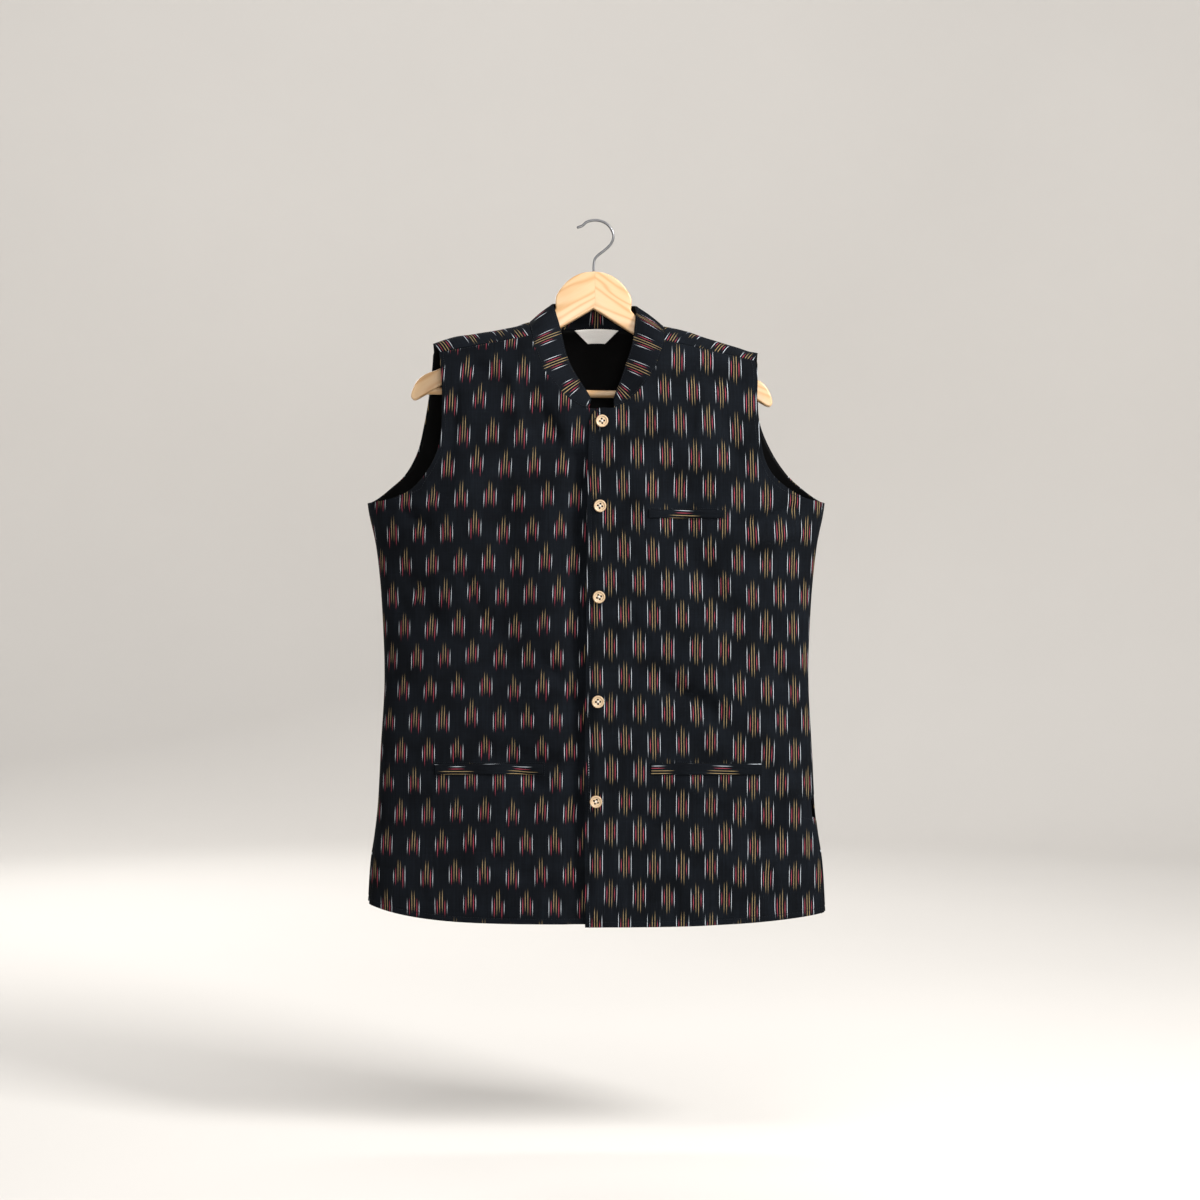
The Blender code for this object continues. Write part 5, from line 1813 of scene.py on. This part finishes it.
@dataclass(frozen=True)
class SatinLining:
    """Black satin lining with a faint warp."""

    name: str = "lining_satin"
    slot: str = "lining"
    colour: Colour = (0.0017, 0.0017, 0.0018, 1)

    def build(self) -> Finish:
        """The material."""
        r = Recipe(self.name)
        warp = r.grain(r.place(), (1, 1, 0.03), 900, 2)
        shade = warp.times_plus(0.5, 0.5) + r.noise(r.place(), 30, 2) * 0.5
        colour = r.shade(self.colour, shade)
        return r.finish(colour, warp, 0.2, 0.0001, Specular_IOR_Level=0.05, Roughness=0.6)


@dataclass(frozen=True)
class LabelTape:
    """White woven tape with a fine rib."""

    name: str = "label_tape"
    slot: str = "label"
    colour: Colour = (0.95, 0.93, 0.90, 1)
    rib_pitch: float = 0.5

    def build(self) -> Finish:
        """The material."""
        r = Recipe(self.name)
        across, along, _ = r.parts(r.stretched(r.carried(), 1 / MM, 1 / MM, 1))
        rib = (along * (2 * math.pi / self.rib_pitch)).sine()
        fleck = r.noise(r.carried(), 900, 2)
        shade = fleck.times_plus(0.2, 0.88) * r.range(abs(across), 20, 27, 1, 0.93)
        colour = r.shade(self.colour, shade)
        return r.finish(colour, rib.times_plus(0.3, fleck), 0.3, 0.00012, Roughness=0.75)


@dataclass(frozen=True)
class Thread:
    """Twisted sewing thread."""

    name: str
    slot: str
    colour: Colour

    def build(self) -> Finish:
        """The material."""
        r = Recipe(self.name)
        twist = r.noise(r.place(), 2600)
        colour = r.shade(self.colour, twist.times_plus(0.6, 0.7))
        return r.finish(colour, twist, 0.4, 0.0001, Specular_IOR_Level=0.12, Roughness=0.62)


@dataclass(frozen=True)
class Pine:
    """Clear-lacquered pine whose grain runs down each board from the middle joint."""

    name: str = "pine_boards"
    slot: str = "pine"
    arm_turn_deg: float = 27.5
    joint_x: float = -1.7
    straight: bool = False
    pale: Colour = (0.64, 0.465, 0.285, 1)
    dark: Colour = (0.47, 0.25, 0.09, 1)
    joint: Colour = (0.36, 0.22, 0.10, 1)

    def build(self) -> Finish:
        """The material."""
        r = Recipe(self.name)
        x, y, z = r.parts(r.place())
        beside, board, turn = x, 0, 0
        if not self.straight:
            beside, board = abs(x - self.joint_x * MM), x > self.joint_x * MM
            turn = math.radians(self.arm_turn_deg)
        along = beside * math.cos(turn) - z * math.sin(turn)
        across = beside * math.sin(turn) + z * math.cos(turn)
        depth = r.math("MULTIPLY_ADD", board, 0.37, y)
        sawn = r.node("ShaderNodeCombineXYZ", (along, across, depth))
        wobble = r.grain(sawn, (0.25, 1, 1), 28, 2)
        cloud = r.grain(sawn, (0.4, 1, 1), 22, 2)
        rings = (wobble.times_plus(0.05, across) * 620).sine().times_plus(0.5, 0.5).power(2.2)
        pores = r.grain(sawn, (0.05, 1, 1), 1500, 2)
        ringed = rings.times_plus(0.5, pores * 0.28)
        share = r.math("MULTIPLY_ADD", cloud, 0.4, ringed, clamp=True)
        colour = r.mix(share, self.pale, self.dark)
        if not self.straight:
            colour = r.mix(r.range(beside, 0.00008, 0.0003, 0.75, 0), colour, self.joint)
        coat = {"Coat_Weight": 0.35, "Coat_Roughness": 0.22}
        return r.finish(colour, pores + rings, 0.12, 0.00012, Roughness=0.46, **coat)


@dataclass(frozen=True)
class Steel:
    """Drawn steel wire, bright with faint lengthwise marks."""

    name: str = "steel_wire"
    slot: str = "steel"
    bright: Colour = (0.25, 0.255, 0.265, 1)
    dull: Colour = (0.15, 0.152, 0.158, 1)

    def build(self) -> Finish:
        """The material."""
        r = Recipe(self.name)
        marks = r.grain(r.place(), (1, 1, 0.15), 1800, 2)
        cloud = r.noise(r.place(), 140, 2)
        colour = r.mix(cloud, self.bright, self.dull)
        rough = cloud.times_plus(0.25, 0.28)
        return r.finish(colour, marks, 0.12, 0.00008, Metallic=1, Roughness=rough)


@dataclass(frozen=True)
class Coconut:
    """Pale turned coconut shell with darker flecks, darker towards its back, with painted shade in
    the groove under the rim, over the rim's outer edge and in the holes.
    """

    name: str = "coconut_shell"
    slot: str = "button"
    groove_shade_radius: float = 5.1
    pale: Colour = (0.60, 0.45, 0.29, 1)
    dark: Colour = (0.25, 0.14, 0.06, 1)
    # painted shade inside the drilled holes
    hole_shade: Colour = (0.02, 0.014, 0.01, 1)

    def build(self) -> Finish:
        """The material; it reads where each point was on the lathe."""
        r = Recipe(self.name)
        spot = r.carried()
        x, y, height = r.parts(r.stretched(spot, 1 / MM, 1 / MM, 1 / MM))
        radius = (x * x + y * y).root()
        grain = r.grain(spot, (0.22, 1, 1), 1300, 3)
        fleck = r.range(r.grain(spot, (0.4, 1, 1), 900, 2), 0.58, 0.72, 0, 0.6)
        # painted shade: darker in the corner where the face meets the rim bead
        groove = 1 - r.range(abs(radius - self.groove_shade_radius), 0, 0.55, 0, 1)
        side = r.range(height, 0.6, 2.2, 0.8, 0)
        # painted shade: darker over the rim's outer edge, where it turns away from the light
        rim = r.range(radius, 6.2, 7.3, 0, 0.5)
        # flecks, darker towards the back, and the painted shade of the groove and the rim
        flecks_side_and_shade = fleck.most(side).most(rim.most(groove * 0.7))
        share = r.math("MULTIPLY_ADD", grain, 0.3, flecks_side_and_shade, clamp=True)
        off_x, off_y = abs(x), abs(y)
        far, near = off_x.most(off_y) - Button.hole_from_middle, off_x.least(off_y)
        # painted shade: the walls of the drilled holes are coloured near black, for the shade
        # inside them
        drilled = (far * far + near * near).root() < Button.hole_radius + 0.04
        colour = r.mix(drilled, r.mix(share, self.pale, self.dark), self.hole_shade)
        coat = {"Coat_Weight": 0.25, "Coat_Roughness": 0.25}
        return r.finish(colour, grain, 0.15, 0.0001, Roughness=0.4, **coat)


@dataclass(frozen=True)
class PaleWall:
    """Plain matt studio wall and floor."""

    name: str = "studio_wall"
    colour: Colour = (0.62, 0.60, 0.575, 1)

    def build(self) -> Finish:
        """The material."""
        r = Recipe(self.name)
        mottle = r.noise(r.place(), 1.4, 2).times_plus(0.05, 0.975)
        return r.finish(r.shade(self.colour, mottle), None, 0, 0, Roughness=0.95)


# Studio


@dataclass
class Lamp:
    """Soft lamp that looks at the middle of the jacket or at a wall; sizes are in metres."""

    name: str
    at: Spot
    size: Pair
    watts: float
    aim: Spot = (0, 0, -0.42)
    tint: Spot = (1, 0.988, 0.97)

    def hang(self) -> None:
        """Hangs the lamp in the scene."""
        light = bpy.data.lights.new(self.name, "AREA")
        light.shape, light.size, light.size_y = "RECTANGLE", *self.size
        light.energy, light.color = self.watts, self.tint
        made = linked(self.name, light)
        made.location = self.at
        way = Vector(self.aim) - Vector(self.at)
        made.rotation_euler = way.to_track_quat("-Z", "Y").to_euler()
        made.visible_camera = False


@dataclass
class Studio:
    """Round pale floor that sweeps up into a far wall, lamps and the camera, in metres."""

    floor_z: float = -1.12
    radius: float = 4.4
    sweep: float = 1.2
    top_z: float = 3.0
    sides: int = 96
    camera_at: Spot = (0.0043, -2.6, -0.4618)
    sensor: float = 36.0
    frame_width: float = 1.464
    room_light: float = 0.16
    room_tint: Colour = (0.93, 0.95, 1, 1)

    LAMPS = (
        Lamp("key_lamp", (1.6, -1.15, 0.85), (0.7, 0.9), 84),
        Lamp("front_lamp", (0.3, -2.6, -0.2), (0.6, 0.6), 19),
        Lamp("top_lamp", (0.1, -1.1, 2.2), (1.4, 1), 20),
        Lamp("rear_lamp", (-1.6, 2.4, 1), (1.4, 1.4), 60),
        Lamp("far_wall_lamp", (0, 1.4, 2.5), (3, 0.8), 66, (0, 4.4, -0.4)),
        Lamp("near_wall_lamp", (0, -1.6, 2.5), (3, 0.8), 34, (0, -4.4, -0.4)),
    )

    def floor(self) -> None:
        """Floor, sweep and wall in one sheet, turned about the jacket."""
        turn = np.linspace(0, math.pi / 2, 17)
        out = np.append(self.radius - self.sweep * (1 - np.sin(turn)), self.radius)
        up = np.append(self.floor_z + self.sweep * (1 - np.cos(turn)), self.top_z)
        rings = [(far * x, far * y, z) for far, z in zip(out, up) for x, y in circle(self.sides)]
        walls = (face[::-1] for face in ring_faces(len(out), self.sides))
        made = mesh_object(
            "studio_floor", np.array(rings) / MM, [tuple(range(self.sides)), *walls]
        )
        made.data.materials.append(PaleWall().build())

    def build(self) -> None:
        """Floor, lamps, room light and camera."""
        self.floor()
        for lamp in self.LAMPS:
            lamp.hang()
        scene = bpy.context.scene
        scene.world = bpy.data.worlds.new("room")
        scene.world.use_nodes = True
        light = scene.world.node_tree.nodes["Background"].inputs
        light["Color"].default_value = self.room_tint
        light["Strength"].default_value = self.room_light
        scene.view_settings.view_transform = "Standard"
        lens = bpy.data.cameras.new("camera")
        lens.sensor_width, lens.clip_end = self.sensor, 50
        lens.lens = self.sensor * -self.camera_at[1] / self.frame_width
        scene.camera = linked("camera", lens)
        scene.camera.location = self.camera_at
        scene.camera.rotation_euler = (math.pi / 2, 0, 0)


# The jacket put together

LEFT_COTTON = IkatCotton(
    "ikat_left_front", middle=(100, -550), jitter=0.8,
    drift_across=Drift(1.8, 1.6, 0.5, 0.2), drift_along=Drift(16.6, 7.9, 2.1, -0.6),
    column_drops=(
        1.2, 1.2, 0, 0.6, 2.2, 0, -1.3, -1.2, -4.7, -4, 2.5, 6.1, 3.7, 1.8, 1.8, 0,
    ),
)
RIGHT_COTTON = IkatCotton(
    "ikat_right_front", Dye(1.6, 0.275, 17, 11), Dye(4.65, 0.31, 6.5, 16),
    Dye(7.45, 0.22, 8, 14.5), middle=(-130, -550), jitter=0.8,
    drift_across=Drift(10.1, 2.2, -1.8, -0.3), drift_along=Drift(-13, -1.4, 2.8, -0.5),
    first_column=-16, column_drops=(
        -1.2, -1.2, -0.6, -1.2, -1.2, 1.2, 0, -1.2, -4.9, -2.4, 0, 2.4, -1.2, -2.2, -0.8, 1.2,
        0,
    ),
)
TRIM_COTTON = IkatCotton("ikat_trim", white=Dye(7.45, 0.22, 11, 11), jitter=1.5, wander=1)
DARK_THREAD = Thread("dark_thread", "ikat_cotton", (0.009, 0.0105, 0.014, 1))
WHITE_THREAD = Thread("white_thread", "button", (0.75, 0.73, 0.69, 1))


class Jacket:
    """All the cloth, its sewing and its buttons, in the order in which they are made."""

    STITCH_OFF = 0.12
    WELTS = (
        Welt("welt_breast", 61.8, -353.6, 152.8, -353.9, 10, 105.5, 8.5),
        Welt("welt_left", 65.4, -657.8, 198.3, -658.6, 13.6, 152.1, 10.3),
        Welt("welt_right", -194.5, -659, -64, -659, 12.4, -88.3, 10.6),
    )
    BUTTONS = (
        Button(1, 6.7, -247.8, 8), Button(2, 4.3, -349.4, -12), Button(3, 3.1, -458.2, 20),
        Button(4, 1.9, -583.7, 3), Button(5, -0.5, -703.3, -25),
    )

    def __init__(self) -> None:
        """Sets out the sewing tool and the finishes that are made so far."""
        self.tool = StitchTool()
        self.finishes: dict[str, Finish] = {}

    def finish(self, kind: FinishKind) -> Finish:
        """The material of a finish, made when it is first used."""
        if kind.name not in self.finishes:
            self.finishes[kind.name] = kind.build()
        return self.finishes[kind.name]

    def dress(self, piece: Piece, finish: FinishKind, *replaced: str) -> Piece:
        """Gives a piece its finish and its body.

        Args:
            piece: the piece.
            finish: its finish.
            *replaced: CAD nodes that it stands for.

        Returns:
            The piece.
        """
        piece.data.materials.clear()
        piece.data.materials.append(self.finish(finish))
        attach(piece, BODY)
        if replaced:
            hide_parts(*replaced)
        log.info("%s: %d faces", piece.name, len(piece.data.polygons))
        return piece

    def sew(
        self, name: str, carrier: Carrier, lines: Sequence[Array], kind: StitchKind = TOPSTITCH
    ) -> None:
        """Lays stitches on a piece of cloth.

        Args:
            name: the sewing's name.
            carrier: cloth that carries it.
            lines: lines near the cloth.
            kind: sizes of the stitches.
        """
        laid = [carrier.beside(line, self.STITCH_OFF) for line in lines]
        self.dress(self.tool.sew(name, laid, kind, self.finish(DARK_THREAD)), DARK_THREAD)

    def panel(
        self, name: str, panel: Panel, cotton: IkatCotton, lining_name: str, *lining_nodes: str
    ) -> tuple[ClothGrid, Carrier, Piece]:
        """Outer cloth of a panel and the lining behind it.

        Args:
            name: the panel's name.
            panel: the panel.
            cotton: its finish.
            lining_name: the lining's name.
            *lining_nodes: CAD nodes that the lining stands for.

        Returns:
            The hung grid, the outer cloth to lay smaller pieces on, and the lining.
        """
        grid = panel.hang()
        cloth = self.dress(rolled_wall(name + "_cloth", grid, SHELL, EDGE_DROP), cotton, name)
        rows = slice(panel.lining_from, grid.row_above_end(LINING_ABOVE_HEM))
        behind = grid.part(rows, slice(3, -3)).lifted(-panel.lining_depth)
        lining = rolled_wall(lining_name, behind, LINING_WALL, 0.1)
        self.dress(lining, SatinLining(), *lining_nodes)
        return grid, Carrier(cloth), lining

    def side_lines(self, grid: ClothGrid, border: Border) -> list[Array]:
        """Lines of sewing along a panel's armhole and along the vent under it."""
        column = border.value
        armhole = slice(4, grid.span(column, 0, UNDERARM_Z + 2).stop)
        vent = grid.span(column, VENT_TOP_Z, BELOW_HEM_Z)
        return [grid.line_beside(border, 5, armhole), grid.line_beside(border, 6, vent)]

    def front(self, panel: FrontPanel, cotton: IkatCotton) -> Carrier:
        """One front with its lining and its topstitching.

        Args:
            panel: the front.
            cotton: its finish.

        Returns:
            The outer face to lay smaller pieces on.
        """
        name = "front_" + panel.wearer.name.lower()
        grid, carrier, _ = self.panel(name, panel, cotton, name + "_lining")
        inside = slice(4, -4)
        lines = [
            grid.line_beside(Border.FOOT, HEM_STITCH_ABOVE, inside),
            *self.side_lines(grid, Border.LAST),
            grid.line_beside(Border.TOP, 1.6, inside),
        ]
        if panel.wearer is Wearer.LEFT:
            lap = grid.span(0, NECK[-1].z - 3, BELOW_HEM_Z)
            lines.append(grid.line_beside(Border.FIRST, 5.5, lap))
        self.sew(name + "_stitches", carrier, lines)
        return carrier

    def back(self) -> Carrier:
        """The back with its topstitching; gives its lining."""
        grid, carrier, lining = self.panel(
            "back", BackPanel(), IkatCotton("ikat_back"), "back_lining_satin", "back_lining"
        )
        lines = [grid.line_beside(Border.FOOT, HEM_STITCH_ABOVE, slice(4, -4))]
        lines += self.side_lines(grid, Border.FIRST) + self.side_lines(grid, Border.LAST)
        self.sew("back_stitches", carrier, lines)
        return Carrier(lining)

    def collar(self) -> None:
        """The collar with the topstitching along its upper edge and its foot."""
        collar = Collar()
        grid = collar.grid()
        cloth = self.dress(collar.build(grid), TRIM_COTTON, "collar")
        insets = ((Border.FOOT, 2.4), (Border.TOP, 1.8))
        lines = [grid.line_beside(border, inset, slice(3, -3)) for border, inset in insets]
        self.sew("collar_stitches", Carrier(cloth), lines)

    def welt(self, welt: Welt, carrier: Carrier) -> None:
        """One pocket's welt with the dark strip of painted shade in its mouth, and its seams."""
        strip = self.dress(welt.build(carrier), TRIM_COTTON, welt.name)
        # painted shade: a strip of black lining in the pocket's mouth stands in for the shade
        # inside it
        mouth = self.dress(welt.mouth(carrier), SatinLining())
        seam, _ = carrier.under(*welt.seam_box())
        self.sew(welt.name + "_stitches", carrier, [seam], FINE_STITCH)

    def label(self, lining: Carrier) -> None:
        """The label on the back's lining."""
        label = Label()
        tape = self.dress(label.build(lining), LabelTape(), "label")

    def buttons(self, carrier: Carrier) -> None:
        """Five buttons with their threads and their buttonholes."""
        along = np.linspace(-10.5, 8.5, 12)
        for button in self.BUTTONS:
            place = button.place(carrier)
            self.dress(button.build(place), Coconut(), f"button_{button.number}")
            self.dress(button.thread(place), WHITE_THREAD)
        slant = 0.02 * along
        holes = [carrier.under(button.x + along, button.z + slant)[0] for button in self.BUTTONS]
        self.sew("buttonholes", carrier, holes, SATIN_STITCH)

    def build(self) -> None:
        """Everything in order."""
        lining = self.back()
        right = self.front(RIGHT_FRONT, RIGHT_COTTON)
        left = self.front(LEFT_FRONT, LEFT_COTTON)
        self.collar()
        for welt in self.WELTS:
            self.welt(welt, right if welt.x0 < 0 else left)
        self.label(lining)
        self.buttons(left)
        hanger = Hanger()
        self.dress(hanger.board(), Pine(), "hanger")
        self.dress(hanger.bar(), Pine("pine_bar", straight=True), "hanger_bar")
        self.dress(hanger.hook(), Steel(), "hook")


def main() -> None:
    """Loads the frame, dresses it and lights it."""
    logging.basicConfig(level=logging.INFO, format="%(message)s")
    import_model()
    Studio().build()
    Jacket().build()


if __name__ == "__main__":
    main()
